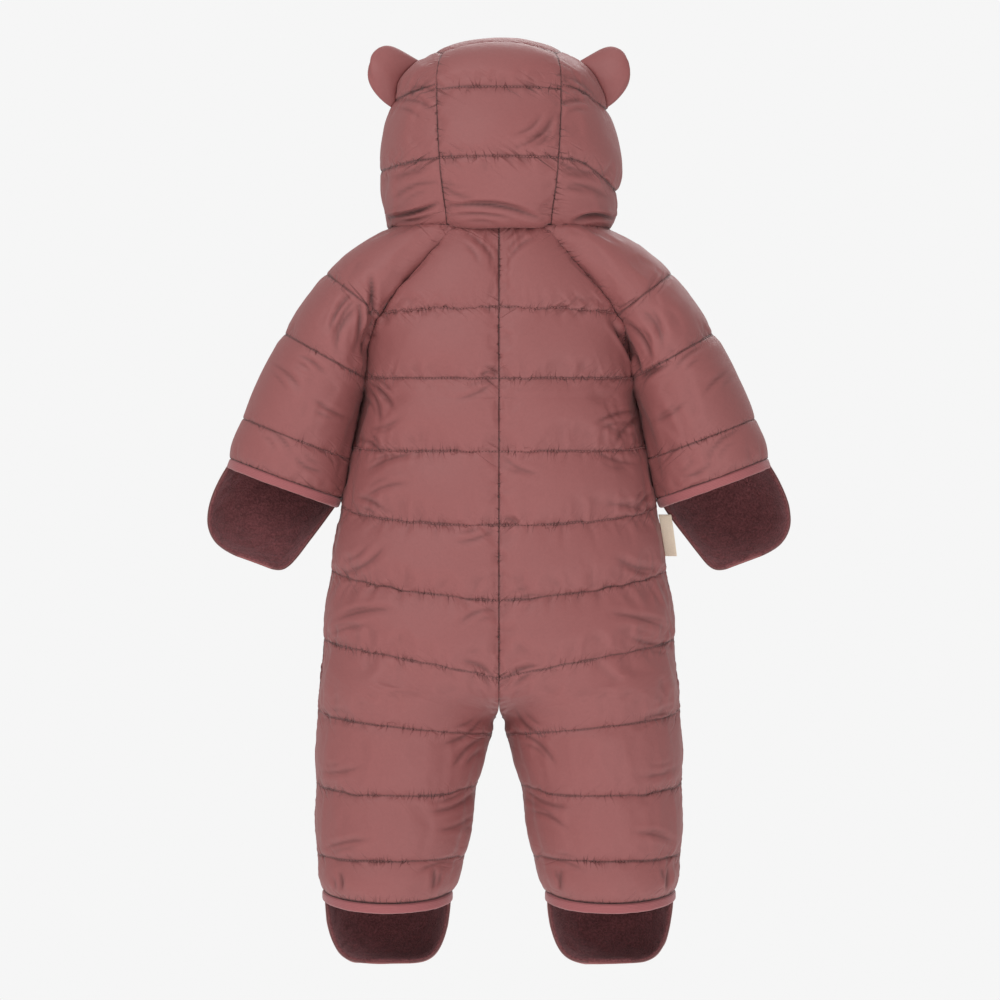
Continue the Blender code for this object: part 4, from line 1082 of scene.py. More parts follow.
def make_shell(name, colour, shine):
    """Downproof nylon: close plain weave and a soft satin face, pinched, with painted shade along its seams,
    in pinch lines, hollows and creases, and a painted highlight on ridges.
    """
    finish = Finish(name, Sheen_Weight=0.1, Sheen_Roughness=0.45, Specular_IOR_Level=0.4,
                    Sheen_Tint=(1.0, 0.82, 0.8, 1.0))
    here, cloth = finish.coordinates(), finish.cloth_map()
    slow, fine = finish.noise(here, 9.0), finish.noise(here, 420.0)
    by_line, by_edge, by_pull, fold, deep, seam = (
        finish.value_of(name) for name in ("by_line", "by_edge", "by_pull", "fold", "deep", "seam"))
    patches = finish.noise(cloth, 42.0, 1.0)

    def pinches(scale, stretch, turn, width):
        lines = finish.noise(finish.cloth_map(stretch, turn), scale, 1.5, 0.45)
        return (lines - 0.5).absolute().between(width, 0.0)

    # Thin pinch lines, which are bumped and also get painted shade in the colour.
    upright = pinches(150.0, (1.0, 0.3, 1.0), -0.15, 0.04) * patches.between(0.38, 0.6)
    leaning = pinches(80.0, (1.0, 0.16, 1.0), -0.98, 0.05) * patches.between(0.64, 0.4)
    level = pinches(110.0, (0.2, 1.0, 1.0), 0.3, 0.04) * patches.between(0.4, 0.6)
    pinch = upright * by_line + leaning * by_pull + level * by_edge
    tone = (slow - 0.5) * 0.35 + (fine - 0.5) * 0.35 + 0.5
    base = finish.mottle(tone, 0.2, 0.8, colour, 0.93, 1.07)
    # Painted shade mixed into the colour: in hollows, in pinch lines, in the bottoms of creases and folds and
    # in seam grooves; painted highlight where the cloth rises to a ridge.
    for share, factor in (
            (fold.between(0.2, 1.0) * 0.14, 0.36), ((fold * -1).between(0.1, 1.0) * 0.1, 1.35),
            (pinch.between(0.05, 0.9) * 0.38, 0.36), (deep * 0.85, 0.14), (seam * 0.9, 0.14)):
        base = finish.blend(share, base, shade(colour, factor))
    finish.set("Base Color", base)
    finish.set("Roughness", (slow - 0.5) * 0.12 + (1 - shine) + pinch * 0.1)
    weave = finish.wave(cloth, 0, NYLON_PITCH) * finish.wave(cloth, 1, NYLON_PITCH)
    crinkle = finish.noise(finish.cloth_map((1.0, 0.6, 1.0), -0.8), 85.0, 2.0, 0.4)
    finish.raise_by((pinch * -1, 0.0026, 0.8), (crinkle, 0.003, 0.22), (fine, 0.0004, 0.18),
                    (weave, 0.00012, 0.22))
    return finish.material


def make_fleece(name, colour):
    """Dense short fleece: no gloss, mottled, with a fine curled nap."""
    finish = Finish(name, Roughness=1.0, Sheen_Weight=0.35, Sheen_Roughness=0.6, Specular_IOR_Level=0.1,
                    Sheen_Tint=(0.75, 0.45, 0.47, 1.0))
    here = finish.coordinates()
    curls, patches = finish.noise(here, 520.0, 3.0, 0.65), finish.noise(here, 75.0, 3.0, 0.6)
    finish.set("Base Color", finish.mottle(curls * 0.78 + patches * 0.22, 0.32, 0.68, colour, 0.62, 1.45))
    finish.raise_by((patches, 0.002, 0.35), (curls, 0.0018, 0.8))
    return finish.material


def make_binding(name, colour):
    """Folded jersey binding with fine ribs along it, and painted shade along its sewn edge."""
    finish = Finish(name, Sheen_Weight=0.25, Sheen_Roughness=0.5, Specular_IOR_Level=0.3)
    ribs = finish.wave(finish.cloth_map(), 1, RIB_PITCH) * 0.5 + 0.5
    fine = finish.noise(finish.coordinates(), 700.0)
    base = finish.mottle(ribs * 0.5 + fine * 0.5, 0.1, 0.9, colour, 0.86, 1.1)
    # painted shade along the sewn edge
    finish.set("Base Color", finish.blend(finish.value_of("seam") * 0.5, base, shade(colour, 0.5)))
    finish.set("Roughness", fine * 0.1 + 0.6)
    finish.raise_by((ribs, 0.0003, 0.5), (fine, 0.0003, 0.35))
    return finish.material


def make_woven(name, colour, pitch, strength):
    """A plain woven tape."""
    finish = Finish(name, Roughness=0.8, Specular_IOR_Level=0.25, Sheen_Weight=0.1)
    here = finish.coordinates()
    weave = finish.wave(here, 0, pitch) * finish.wave(here, 2, pitch) * 0.5 + 0.5
    fine = finish.noise(here, 900.0)
    finish.set("Base Color", finish.mottle(weave * 0.5 + fine * 0.5, 0.1, 0.9, colour, 0.85, 1.08))
    finish.raise_by((weave, pitch * 0.3, strength), (fine, 0.0002, 0.3))
    return finish.material


def make_metal(name, colour):
    """Brushed zinc alloy with slightly duller patches."""
    finish = Finish(name, Metallic=1.0)
    streaks = finish.noise(finish.coordinates((1, 1, 0.08)), 2600.0)
    dull = finish.noise(finish.coordinates(), 160.0, 3.0)
    finish.set("Base Color", finish.mottle(dull, 0.3, 0.7, colour, 0.88, 1.06))
    finish.set("Roughness", streaks * 0.14 + 0.24)
    finish.raise_by((streaks, 0.00004, 0.3))
    return finish.material


def make_thread(name, colour):
    """Polyester sewing thread, slightly shiny, with its twist."""
    finish = Finish(name, Roughness=0.5, Specular_IOR_Level=0.45, Sheen_Weight=0.1)
    twist = finish.noise(finish.coordinates(), 1500.0, 1.0)
    finish.set("Base Color", finish.mottle(twist, 0.3, 0.7, colour, 0.85, 1.1))
    return finish.material


FINISHES = {}
BUILT = {}


def finish_named(name):
    """The finish of that name, made from the panel's settings the first time."""
    if name not in FINISHES:
        chosen = bpy.context.scene.snowsuit_finish
        cloth, shine = chosen.shell, chosen.shell_shine
        maker, *values = {
            "shell": (make_shell, "downproof_shell", cloth, shine),
            "inside": (make_shell, "shell_inside", shade(cloth, 0.8), 0.4),
            "ears": (make_shell, "ear_cloth", shade(cloth, 1.02), shine + 0.04),
            "fleece": (make_fleece, "burgundy_fleece", chosen.fleece),
            "binding": (make_binding, "rose_binding", chosen.binding),
            "label": (make_woven, "cream_label", chosen.label, 0.0009, 0.5),
            "zip_tape": (make_woven, "zip_tape_weave", shade(cloth, 0.9), 0.0011, 0.6),
            "zip_teeth": (make_thread, "zip_coil", shade(cloth, 1.05)),
            "zip_metal": (make_metal, "zip_metal", chosen.metal),
            "thread": (make_thread, "sewing_thread", shade(cloth, 1.05)),
        }[name]
        FINISHES[name] = maker(*values)
    return FINISHES[name]


# ---------------------------------------------------------------- pieces

def seam_groove_shade(panel):
    """Painted shade in the grooves of quilt lines and seams: how dark each point is."""
    width = 0.8 + 0.35 * cloth_noise(panel.u / 13.0 + 40, np.round(panel.v / 30.0) + 9, 5)
    along_line = np.exp(-(panel.lines / width) ** 2) * (1 - 0.55 * np.minimum(panel.flat, 1))
    return np.maximum(along_line, np.exp(-(panel.edges / 0.7) ** 2))


# How often hollows() smooths the surface that it measures from, and the depth that counts in full.
SMOOTHINGS, FULL_HOLLOW = 10, 0.7


def hollows(panel, outer):
    """Painted shade from 1 in the bottom of creases and seams, and painted highlight towards -1 on the
    ridges.
    """
    height = ((outer - panel.inner) * panel.outs).sum(axis=-1)
    level = height.copy()
    for _ in range(SMOOTHINGS):
        padded = np.pad(level, 1, mode="edge")
        level = (padded[:-2, 1:-1] + padded[2:, 1:-1] + padded[1:-1, :-2] + padded[1:-1, 2:]) / 4
    return np.clip((level - height) / FULL_HOLLOW, -1, 1)


# The area worked out for a sheet is at least this share of its width by its length.
LEAST_AREA = 0.31


def declare_sheet(piece, points, width, length):
    """Works out a sheet's area from the outer points of its cloth and its flat size in millimetres, and keeps
    none of it.
    """
    flat = (float(width) * MM, float(length) * MM)
    area = max(min(grid_area(points), flat[0] * flat[1]), LEAST_AREA * flat[0] * flat[1])


def pin_mask(panel):
    pinned = np.zeros(panel.u.shape, bool)
    pinned[[0, -1, *panel.rows]] = True
    pinned[:, [0, -1]] = True
    return pinned


Quilted = namedtuple("Quilted", "piece panel outer side")


def quilted_pieces(jobs, settings, give=1.0):
    """Builds several quilted panels and settles their cloth together, by give of the settling limit.

    Each job is (piece name, CAD node, panel, side, seed).
    """
    settled = settle([(name + "_cloth", panel.outer * [side, 1, 1], pin_mask(panel))
                      for name, _, panel, side, _ in jobs], settings, give)
    made = []
    for (name, node, panel, side, seed), points in zip(jobs, settled):
        outer, deep = with_creases(points * [side, 1, 1], panel.outs, panel, side, settings)
        outer = with_puckers(outer, panel.outs, panel, side, seed, settings)
        # The seam, fold and fold-bottom values below carry painted shade into the shell's colour, and fold
        # below 0 a painted highlight.
        piece = wall_piece(
            name, node, "shell", panel.inner, outer, side, panel.u, panel.v,
            seam=seam_groove_shade(panel), fold=hollows(panel, outer), deep=deep,
            by_line=np.exp(-panel.lines / 2.6), by_edge=np.exp(-panel.seams / 6.0),
            by_pull=np.exp(-panel.lines / 6.5) * (0.25 + 0.75 * towards_side(panel)))
        made.append(Quilted(piece, panel, outer, side))
        BUILT[name] = outer
    return made


def point_at(line, runs, run):
    """The point of a line at a length run along it."""
    return np.array([np.interp(run, runs, line[:, axis]) for axis in range(3)])


# A stitch's thread, and half of the share of its pitch that shows.
THREAD_WIDTH, THREAD_HEIGHT, HALF_STITCH, LEAST_STITCH = 0.95, 0.95 * 0.8, 0.36, 0.2


def stitch_row(bm, points, outs, lifts, pitch):
    """Thread along a line of points: short round stitches with gaps between them."""
    runs = line_lengths(points)
    for index in range(int(runs[-1] / pitch)):
        middle = (index + 0.5) * pitch
        start, end = (point_at(points, runs, middle + half)
                      for half in (-HALF_STITCH * pitch, HALF_STITCH * pitch))
        nearest = int(np.argmin(np.abs(runs - middle)))
        run = Vector(end - start)
        if run.length < LEAST_STITCH:
            continue
        place = Vector((start + end) / 2) + Vector(outs[nearest]) * float(lifts[nearest])
        turn = run.to_track_quat("Z", "Y").to_matrix().to_4x4()
        size = Matrix.Diagonal((THREAD_WIDTH, THREAD_HEIGHT, run.length, 1.0))
        matrix = Matrix.Translation(place * MM) @ turn @ size @ Matrix.Scale(MM, 4)
        bmesh.ops.create_cone(bm, cap_ends=True, cap_tris=False, segments=6,
                              radius1=0.5, radius2=0.5, depth=1.0, matrix=matrix)


def sew(name, made, settings):
    """One piece with the thread of all quilt lines of several panels."""
    bm = bmesh.new()
    for _, panel, outer, side in made:
        mirror = np.array([side, 1, 1])
        for row in panel.rows[1:-1]:
            lifts = 0.7 * np.minimum(2.5 * panel.flat[row], 1) - 0.3
            stitch_row(bm, outer[row] * mirror, panel.outs[row] * mirror, lifts, settings.stitch_length)
    bmesh.ops.recalc_face_normals(bm, faces=bm.faces)
    thread = belongs(finished(name, bm, finish_named("thread"), smooth=True))
    for index, (piece, panel, _, _) in enumerate(made):
        declare_sheet(piece, panel.outer, panel.u[:, -1].max(), panel.v[-1].max())


def ear_root(word, places, settings):
    """Points on the hood's outer side that the ear is sewn to, at the side panel's middle."""
    panel = hood_side_panel(settings.grid_step)
    outer = BUILT.get(f"quilted_hood_side_{word}", panel.outer)
    panel_places = panel.places - nape_fall(panel.places, NAPE_DROOP[dict(SIDES)[word]])
    middle = panel.u[len(panel.u) // 2]
    column = int(np.argmin(np.abs(middle / middle[-1] - EAR_SHARE)))
    line = np.stack([np.interp(places, panel_places, outer[:, column, axis]) for axis in range(3)], -1)
    outs = hood_normal(np.full_like(places, EAR_SHARE), places)
    line[1:-1] = (line[:-2] + 2 * line[1:-1] + line[2:]) / 4
    return line - outs * 0.3


def ear_grids(word, settings):
    """Back and front points of one ear."""
    places = np.linspace(EAR_ROOT[0], EAR_ROOT[1], settings.ear_columns + 1)
    root = ear_root(word, places, settings)
    span = root[-1] - root[0]
    outward = facing(unit(np.array([-span[2], 0.0, span[0]])), np.array([1.0, 0.0, 1.0]))
    middle = root[0] + span * EAR_TIP
    reach = np.linspace(0, 1, settings.ear_rows + 1)[:, None, None]
    upper = np.linspace(0, 1, len(places))[None, :, None]
    rounded = EAR_TIP_REACH * reach
    narrowing = ((1 - upper) * (1 - 0.42 * reach) * (1 - rounded ** 8) ** 0.5
                 + upper * (1 - rounded ** 5) ** 0.6)
    centre = (root[None] * (1 - reach) + (middle + (root[None] - middle) * narrowing) * reach
              + outward * EAR_HEIGHT * reach)
    along = np.linspace(-1, 1, len(places))[None, :]
    rise = reach[..., 0]
    plump = EAR_STUFFING * np.sin(np.pi * np.minimum(rise, 0.98)) ** 0.6 * (1 - np.abs(along) ** 2.4)
    roll = (np.sqrt(np.maximum(1 - np.abs(along) ** 6, 0.04))
            * np.sqrt(np.maximum(1 - rise ** 10, 0.04)))
    dent = 0.8 * cloth_noise(along * 2.2 + 20, rise * 2.6 + 20, 91 + len(word)) * np.sin(np.pi * rise)
    half = (EAR_EDGE * roll + plump + dent * (1 - along ** 2))[..., None] * [0.0, 1.0, 0.0]
    return centre - half, centre + half


# An opening's end: its centre line's last point, the direction up its back, and the way on from it.
End = namedtuple("End", "centre upward downward")


def scoop_grids(rim, rim_outs, end, scoop, rows):
    """Inner points and directions of a fold-over end's outside, from its rim to its tip."""
    centre, upward, downward = end
    turn = np.radians(SCOOP_TURN) * np.linspace(0, 1, rows + 1)[:, None]
    narrowing = np.cos(turn) ** scoop.roundness
    lean = scoop.lean * np.sin(2 * turn)
    offset = rim - centre
    across, along = (offset @ upward)[None, :], (offset @ downward)[None, :]
    points = (centre
              + upward * (across * narrowing + lean)[..., None]
              + vec(0, offset[None, :, 1] * np.cos(turn), 0)
              + downward * (along * np.cos(turn) + scoop.length * np.sin(turn))[..., None])
    axis = centre + (upward * lean + downward * 0.6 * scoop.length * np.sin(turn))[:, None]
    outs = facing(unit(np.cross(np.gradient(points, axis=0), np.gradient(points, axis=1))), points - axis)
    outs[0] = rim_outs
    from_side = np.minimum(np.arange(len(rim)), np.arange(len(rim))[::-1])
    return points, towards(outs, level_out(outs), 1 - ease(from_side, 0.0, 3.0))


def scoop_pieces(part, rim, rim_outs, end, scoop, word, side, settings):
    """The nylon outside and the fleece inside of a mitt or foot."""
    rim = rim + end.downward * 2 * HALF_GAP
    rim[[0, -1], 1] += HALF_GAP
    points, outs = scoop_grids(rim, rim_outs, end, scoop, settings.scoop_rows)
    u, v = grid_lengths(points)
    edge = np.minimum(np.minimum(u, u[:, -1:] - u), v[-1:] - v + 2.0)
    seed = 70 + len(part) + (side > 0)
    swell = 1.6 * cloth_noise(u / 18 + 9, v / 15 + 9, seed) * ease(edge, 0, 12) * ease(v, 0, 10)
    gather = 0.9 * cloth_noise(u / 5 + 9, v / 22 + 9, seed + 3) * np.exp(-v / 9) * ease(v, 0, 2)
    skin = SHELL_WALL - 0.6 + swell + gather
    outer = points + outs * (0.6 + (skin - 0.6) * ease(edge, -0.5, 2.5))[..., None]
    # The seam value is painted shade along the outside's rim and edges.
    shell = wall_piece(f"{part}_outside_{word}", f"{part}_shell_{word}", "shell", points, outer, side, u, v,
                       seam=np.exp(-(np.minimum(edge, v) / 1.4) ** 2))
    back = points - outs * 2 * HALF_GAP
    mounds = 0.9 * cloth_noise(u / 7 + 3, v / 7 + 3, seed + 5) * ease(edge, 0, 6)
    pile = LINING_WALL + 1.0 * ease(edge, 0, 9) + mounds + 0.35 * cloth_noise(u / 2.6, v / 2.6, seed + 6)
    pile = pile * np.sqrt(np.clip(edge / 3.0 + 0.25, 0.25, 1))
    lining = wall_piece(f"{part}_fleece_{word}", f"{part}_lining_{word}", "fleece",
                        back - outs * pile[..., None], back, side, u, v)
    for piece in (shell, lining):
        declare_sheet(piece, points, u[:, -1].max(), v.max())


def binding_piece(opening, word, edge, outs, downward, side, settings):
    """A folded binding round the open back edge, wider than the wall on both sides."""
    seed = 31 + (side > 0)
    down = np.linspace(0, 1, settings.binding_rows + 1)[:, None]
    run = line_lengths(edge)
    wave = (0.35 * cloth_noise(run / 6.0 + 5, 0 * run, seed)
            + 0.25 * cloth_noise(run / 2.6 + 5, 0 * run, seed + 1))
    band = SEAM_WALL + 2 * BINDING_EXTRA
    bulge = (1 - np.abs(2 * down - 1) ** 4) ** 0.5
    tucked = ease(np.minimum(run, run[-1] - run), -2.0, 7.0)
    half = (0.42 + 0.58 * bulge) * band / 2 * (1 + 0.12 * wave) * (0.62 + 0.38 * tucked)
    line = edge + outs * SEAM_WALL / 2 + downward * (2 * HALF_GAP + BINDING_WIDTH * down)[..., None]
    line = (line + downward * (0.5 * wave * down)[..., None]
            - outs * ((1 - tucked) * (0.4 + 1.4 * down))[..., None])
    u, v = np.broadcast_arrays(run, BINDING_WIDTH * down)
    # The seam value is painted shade along the edge where the binding meets the wall.
    piece = wall_piece(
        f"{opening}_binding_rib_{word}", f"{opening}_binding_{word}", "binding",
        line - outs * half[..., None], line + outs * half[..., None], side, u, v,
        seam=np.exp(-(v / 0.9) ** 2))


def strip_piece(name, node, slot, inner, outer):
    """A narrow woven strip as one closed wall."""
    return wall_piece(name, node, slot, inner, outer, RIGHT, *grid_lengths(outer))


# ---------------------------------------------------------------- settings

def colour_setting(name, description, default):
    return FloatVectorProperty(
        name=name, description=description, default=default, subtype="COLOR", size=3, min=0, max=1)


def number_setting(name, description, default, low, high, kind=FloatProperty):
    return kind(name=name, description=description, default=default, min=low, max=high)


def count_setting(*values):
    return number_setting(*values, kind=IntProperty)


class SnowsuitFinish(bpy.types.PropertyGroup):
    shell: colour_setting("Shell", "Colour of the nylon", (0.262, 0.0835, 0.0815))
    fleece: colour_setting("Fleece", "Colour of the fleece", (0.138, 0.044, 0.047))
    binding: colour_setting("Binding", "Colour of cuff and ankle bindings", (0.32, 0.095, 0.1))
    label: colour_setting("Label", "Colour of the woven side label", (0.8, 0.68, 0.54))
    metal: colour_setting("Zip metal", "Colour of slider and pull tab", (0.62, 0.6, 0.57))
    shell_shine: number_setting("Shell shine", "Satin gloss of the nylon", 0.42, 0, 1)


class SnowsuitCloth(bpy.types.PropertyGroup):
    back_step: number_setting("Back step", "Mesh size of the back, mm", 1.8, 1, 6)
    front_step: number_setting("Front step", "Mesh size of the front, mm", 2.4, 1, 6)
    grid_step: number_setting("Grid step", "Mesh size of sleeves and hood, mm", 2.0, 1, 6)
    pucker: number_setting("Gathers", "Height of gathers at quilt lines, mm", 0.7, 0, 2)
    crease_strength: number_setting("Creases", "Strength of the laid creases", 1.0, 0, 2)
    slack: number_setting("Slack", "How much longer the cloth is than its seams", 0.035, 0, 0.2)
    pressure: number_setting("Loft pressure", "Push of the padding", 1.5, 0, 10)
    stiffness: number_setting("Stiffness", "Bending stiffness of the cloth", 0.6, 0, 20)
    settle_steps: count_setting("Settling", "Steps of the cloth simulation", 12, 1, 60)
    settle_cap: number_setting("Settling limit", "Most that cloth moves while settling, mm", 1.9, 0.1, 8)
    stitch_length: number_setting("Stitch", "Stitch pitch, mm", 2.8, 1, 8)
    coil_pitch: number_setting("Coil pitch", "Pitch of the zip's coil, mm", 1.7, 0.8, 4)
    binding_rows: count_setting("Binding rows", "Mesh rows across a binding", 10, 4, 24)
    scoop_rows: count_setting("Fold-over rows", "Mesh rows of mitts and feet", 44, 6, 80)
    ear_columns: count_setting("Ear columns", "Mesh columns of an ear", 26, 8, 60)
    ear_rows: count_setting("Ear rows", "Mesh rows of an ear", 22, 6, 60)


# ---------------------------------------------------------------- operators

class Quilt(bpy.types.Operator):
    """Builds the quilted back and front, from the neck to the ankles"""
    bl_idname = "snowsuit.quilt_body"
    bl_label = "Quilted back and front"

    def execute(self, context):
        settings = context.scene.snowsuit_cloth
        jobs = []
        for place, face, seed, step in (("back", BACK, 1, settings.back_step),
                                        ("front", FRONT, 2, settings.front_step)):
            panel = body_panel(face, step)
            for word, side in SIDES:
                jobs.append((f"quilted_{place}_{word}", f"{place}_{word}", panel, side, seed))
        made = quilted_pieces(jobs, settings)
        sew("quilt_stitching_back", made[:2], settings)
        sew("quilt_stitching_front", made[2:], settings)
        return {"FINISHED"}


class Sleeves(bpy.types.Operator):
    """Builds the quilted raglan sleeves"""
    bl_idname = "snowsuit.quilt_sleeves"
    bl_label = "Quilted sleeves"

    def execute(self, context):
        settings = context.scene.snowsuit_cloth
        panel = sleeve_panel(settings.grid_step)
        jobs = [(f"quilted_sleeve_{word}", f"sleeve_{word}", panel, side, 3) for word, side in SIDES]
        sew("quilt_stitching_sleeves", quilted_pieces(jobs, settings, give=0.5), settings)
        return {"FINISHED"}


class Hood(bpy.types.Operator):
    """Builds the quilted hood's centre strip and side panels"""
    bl_idname = "snowsuit.quilt_hood"
    bl_label = "Quilted hood"

    def execute(self, context):
        settings = context.scene.snowsuit_cloth
        jobs = [("quilted_hood_centre", "hood_centre", hood_centre_panel(settings.grid_step), RIGHT, 4)]
        for word, side in SIDES:
            panel = hood_side_panel(settings.grid_step, NAPE_DROOP[side], HOOD_PUFF[side])
            jobs.append((f"quilted_hood_side_{word}", f"hood_side_{word}", panel, side, 5))
        sew("quilt_stitching_hood", quilted_pieces(jobs, settings, give=0.5), settings)
        return {"FINISHED"}


class Ears(bpy.types.Operator):
    """Builds the two stuffed ears"""
    bl_idname = "snowsuit.ears"
    bl_label = "Ears"

    def execute(self, context):
        settings = context.scene.snowsuit_cloth
        for word, side in SIDES:
            back, front = ear_grids(word, settings)
            rows, columns = back.shape[:2]
            u, v = np.meshgrid(np.linspace(0, EAR_WIDTH, columns), np.linspace(0, EAR_HEIGHT, rows))
            # fold here is painted shade along the ear's root, where it meets the hood.
            piece = wall_piece(f"stuffed_ear_{word}", f"ear_{word}", "ears", front, back, side, u, v,
                               fold=np.exp(-v / 3.0) * 0.8)
        return {"FINISHED"}


class Ends(bpy.types.Operator):
    """Builds the fold-over mitts and feet and their bindings"""
    bl_idname = "snowsuit.ends"
    bl_label = "Mitts, feet and bindings"

    def execute(self, context):
        settings = context.scene.snowsuit_cloth
        shares = np.linspace(0, 1, END_POINTS)
        cuff_place, ankle_place = (np.full_like(shares, len(table) - 1.0) for table in (SLEEVE, BODY))
        centre, upward = (value.reshape(3) for value in sleeve_section(cuff_place[:1])[:2])
        downward = facing(np.array([-upward[2], 0.0, upward[0]]), np.array(DOWN))
        cuff = End(centre, upward, downward)
        ankle = End(np.array([BODY[-1].centre_x, 0.0, BODY[-1].side_z]), np.array([1.0, 0.0, 0.0]),
                    np.array(DOWN))
        edges = {}
        for face in (BACK, FRONT):
            edges["cuff", face] = (sleeve_point(face * (1 - shares), cuff_place),
                                   sleeve_normal(face * (1 - shares), cuff_place))
            edges["ankle", face] = (body_point(face, shares, ankle_place),
                                    body_normal(face, shares, ankle_place))
        for _, outs in edges.values():
            outs[[0, -1]] = level_out(outs[[0, -1]])
        for word, side in SIDES:
            for opening, part, end, scoop in (("cuff", "mitt", cuff, MITT), ("ankle", "foot", ankle, FOOT)):
                binding_piece(opening, word, *edges[opening, BACK], end.downward, side, settings)
                scoop_pieces(part, *edges[opening, FRONT], end, scoop, word, side, settings)
        return {"FINISHED"}


class Label(bpy.types.Operator):
    """Builds the bare woven label in the right side seam"""
    bl_idname = "snowsuit.label"
    bl_label = "Side label"

    def execute(self, context):
        side = body_panel(BACK, LABEL_SEAM_STEP).outer[:, -1]
        side = side[np.argsort(side[:, 2])]
        down = np.linspace(0, 1, LABEL_DOWN)[:, None]
        reach = np.linspace(0, 1, LABEL_ACROSS)[None, :]
        level = LABEL_TOP - LABEL_HEIGHT * down
        foot = np.interp(level, side[:, 2], side[:, 0])
        sway = 0.5 * np.sin(5.2 * down + 0.7) * reach + 0.25 * np.sin(11 * down) * reach
        bend = LABEL_Y - 1.6 * reach ** 2 - 0.8 * down * reach + sway
        middle = vec(foot + LABEL_GAP + (LABEL_REACH - 0.8 * down) * reach, bend, level)
        fold = np.sqrt(np.clip((1 - reach) * 9 + 0.15, 0.15, 1)) * np.sqrt(
            np.clip(np.minimum(down, 1 - down) * 30 + 0.25, 0.25, 1))
        gape = 0.5 + 0.5 * np.sin(np.pi * reach)
        half = (LABEL_WALL / 2 * fold * gape)[..., None] * [0.0, 1.0, 0.0]
        label = strip_piece("woven_side_label", "side_label", "label", middle + half, middle - half)
        return {"FINISHED"}


class Zip(bpy.types.Operator):
    """Builds the zip's woven tapes and coil and finishes its slider and pull tab"""
    bl_idname = "snowsuit.zip"
    bl_label = "Zip"

    def execute(self, context):
        places = np.linspace(0, ZIP_END, ZIP_POINTS)
        line = body_point(FRONT, np.zeros_like(places), places)
        outs = level_at_neck(centre_out(FRONT, places), places)
        gap = 2 * HALF_GAP
        edges = np.linspace(CHAIN_HALF_WIDTH + gap, ZIP_HALF_WIDTH - gap, len(TAPE_ROLL))
        for word, side in SIDES:
            inner = line[:, None, :] + vec(side * edges, 0, 0)
            inner = inner if side == RIGHT else inner[:, ::-1]
            outer = inner + outs[:, None, :] * (TAPE_WALL * np.array(TAPE_ROLL))[:, None]
            strip_piece(f"woven_zip_tape_{word}", f"zip_tape_{word}", "zip_tape", inner, outer)
        self.coil(line, outs, context.scene.snowsuit_cloth.coil_pitch)
        edges = np.linspace(-CHAIN_HALF_WIDTH, CHAIN_HALF_WIDTH, CORE_POINTS)
        inner = line[:, None, :] + vec(edges, 0, 0)
        strip_piece("zip_core", "zip_chain", "zip_tape", inner, inner + outs[:, None, :] * CORE_WALL)
        for node in ("zip_slider", "zip_pull"):
            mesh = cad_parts[node].data
            mesh.materials.clear()
            mesh.materials.append(finish_named("zip_metal"))
        return {"FINISHED"}

    def coil(self, line, outs, pitch):
        """The closed coil: loops from either side that meet in turn over the middle."""
        bm = bmesh.new()
        runs = line_lengths(line)
        size = Matrix.Diagonal((LOOP_HALF_WIDTH, LOOP_SHARE * pitch, LOOP_HALF_HEIGHT, 1.0))
        for index in range(int(runs[-1] / pitch)):
            middle = (index + 0.5) * pitch
            out = outs[int(np.argmin(np.abs(runs - middle)))]
            down = np.cross(out, [1.0, 0.0, 0.0])
            turn = Matrix((Vector((1, 0, 0)), Vector(down), Vector(out))).transposed().to_4x4()
            lean = [LOOP_LEAN if index % 2 else -LOOP_LEAN, 0, 0]
            centre = point_at(line, runs, middle) + out * LOOP_LIFT + np.array(lean)
            bmesh.ops.create_icosphere(bm, subdivisions=1, radius=MM, matrix=(
                Matrix.Translation(Vector(centre) * MM) @ turn @ size))
        coil = finished("zip_coil", bm, finish_named("zip_teeth"), smooth=True)
        belongs(coil, "zip_chain")


# The stage, in metres. Each light is (name, place, width, watts).
SOFT_WHITE, ROOM_LIGHT = (1.0, 0.99, 0.985, 1), 0.42
FLOOR_LEVEL, FLOOR_RADIUS, BACKDROP_RADIUS = -1.6, 13.2, 15.0
FLOOR_TONES, BACKDROP_TONE, LIT_POINT = ((0.86,) * 3, (0.88,) * 3), (0.921, 0.921, 0.921, 1), (0, 0, -0.24)
LIGHTS = (("key_light", (-1.4, -2.4, 1.6), 1.8, 51), ("fill_light", (1.2, -3.0, -0.6), 2.0, 23),
          ("far_light", (0.6, 2.6, 1.7), 2.2, 44), ("top_light", (0.0, 0.0, 3.0), 2.4, 20))
EYE, VIEW_WIDTH, SENSOR_WIDTH, CLIP_END = (0.0009, -12.0, -0.2365), 0.863, 36.0, 60.0


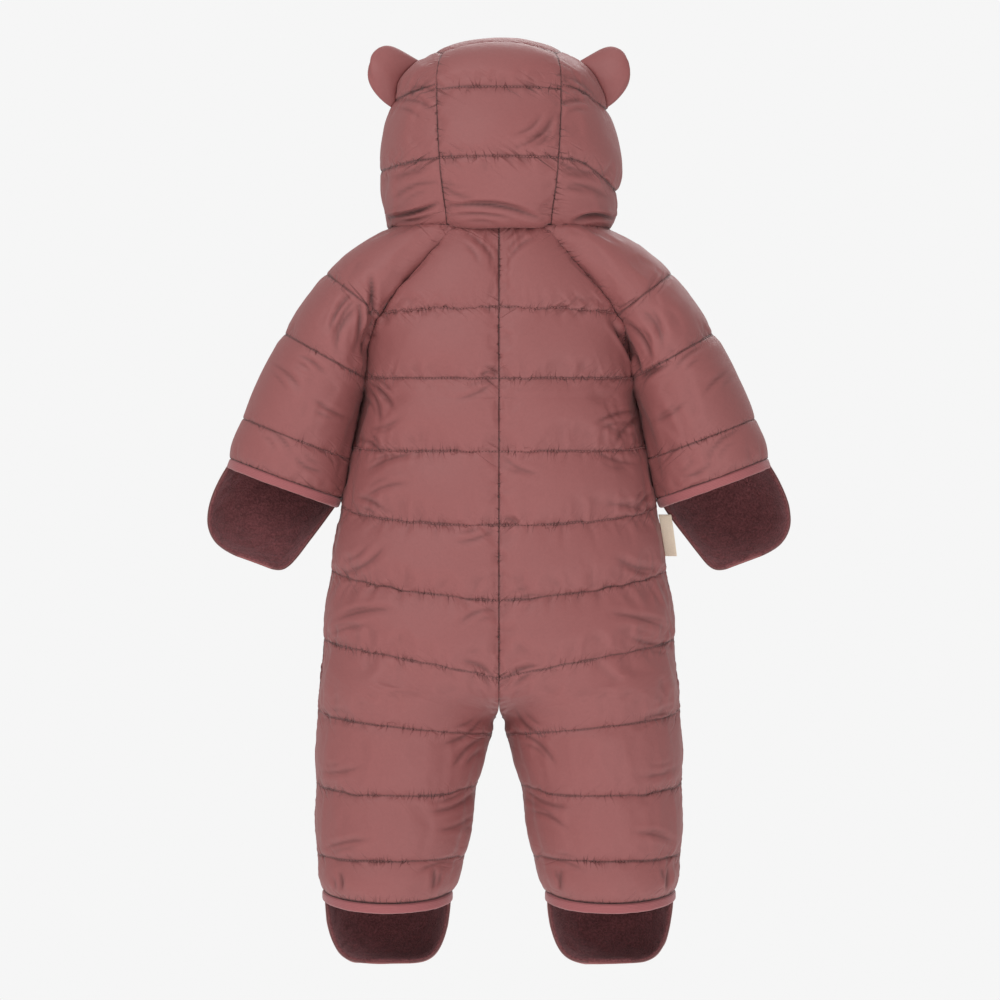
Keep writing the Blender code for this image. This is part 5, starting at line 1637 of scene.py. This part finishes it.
class Stage(bpy.types.Operator):
    """Builds the floor, backdrop, soft lights and camera"""
    bl_idname = "snowsuit.stage"
    bl_label = "Floor, lights and camera"

    def execute(self, context):
        scene = context.scene
        pale = Finish("pale_floor", Roughness=0.9, Emission_Color=SOFT_WHITE, Emission_Strength=ROOM_LIGHT)
        fine = pale.noise(pale.coordinates(), 3.0)
        pale.set("Base Color", pale.blend(fine.between(0.3, 0.7), *FLOOR_TONES))
        bm = bmesh.new()
        bmesh.ops.create_circle(bm, cap_ends=True, segments=96, radius=FLOOR_RADIUS,
                                matrix=Matrix.Translation((0, 0, FLOOR_LEVEL)))
        floor = finished("floor", bm, pale.material)
        far = Finish("pale_backdrop", Base_Color=(0, 0, 0, 1), Specular_IOR_Level=0.0,
                     Emission_Color=BACKDROP_TONE, Emission_Strength=1.0)
        bm = bmesh.new()
        bmesh.ops.create_uvsphere(bm, u_segments=48, v_segments=24, radius=BACKDROP_RADIUS)
        bmesh.ops.reverse_faces(bm, faces=bm.faces)
        backdrop = finished("backdrop", bm, far.material)
        for ray in ("diffuse", "glossy", "shadow", "transmission", "volume_scatter"):
            setattr(backdrop, "visible_" + ray, False)
        scene.world = bpy.data.worlds.new("soft_room")
        scene.world.use_nodes = True
        sky = scene.world.node_tree.nodes["Background"]
        sky.inputs["Color"].default_value = SOFT_WHITE
        sky.inputs["Strength"].default_value = ROOM_LIGHT
        for name, place, size, power in LIGHTS:
            lamp = bpy.data.lights.new(name, "AREA")
            lamp.size, lamp.energy = size, power
            made = link(name, lamp)
            made.location = place
            made.rotation_euler = (Vector(LIT_POINT) - Vector(place)).to_track_quat("-Z", "Y").to_euler()
        camera = bpy.data.cameras.new("camera")
        camera.sensor_width = SENSOR_WIDTH
        camera.lens = SENSOR_WIDTH * -EYE[1] / VIEW_WIDTH
        camera.clip_end = CLIP_END
        eye = link("camera", camera)
        eye.location = EYE
        eye.rotation_euler = (math.pi / 2, 0, 0)
        scene.camera = eye
        scene.view_settings.view_transform = "Standard"
        return {"FINISHED"}


PARTS = (Quilt, Sleeves, Hood, Ears, Ends, Label, Zip, Stage)


class SnowsuitPanel(bpy.types.Panel):
    bl_idname = "VIEW3D_PT_snowsuit"
    bl_label = "Baby snowsuit"
    bl_space_type = "VIEW_3D"
    bl_region_type = "UI"
    bl_category = "Snowsuit"

    def draw(self, context):
        for part in PARTS:
            self.layout.operator(part.bl_idname)
        for settings in (context.scene.snowsuit_finish, context.scene.snowsuit_cloth):
            for name in settings.__annotations__:
                self.layout.prop(settings, name)


CLASSES = (SnowsuitFinish, SnowsuitCloth, *PARTS, SnowsuitPanel)


def register():
    for made in CLASSES:
        bpy.utils.register_class(made)
    bpy.types.Scene.snowsuit_finish = PointerProperty(type=SnowsuitFinish)
    bpy.types.Scene.snowsuit_cloth = PointerProperty(type=SnowsuitCloth)


def unregister():
    del bpy.types.Scene.snowsuit_cloth
    del bpy.types.Scene.snowsuit_finish
    for made in reversed(CLASSES):
        bpy.utils.unregister_class(made)


def main():
    register()
    bpy.ops.snowsuit.quilt_body()
    bpy.ops.snowsuit.quilt_sleeves()
    bpy.ops.snowsuit.quilt_hood()
    bpy.ops.snowsuit.ears()
    bpy.ops.snowsuit.ends()
    bpy.ops.snowsuit.label()
    bpy.ops.snowsuit.zip()
    bpy.ops.snowsuit.stage()


if __name__ == "__main__":
    main()
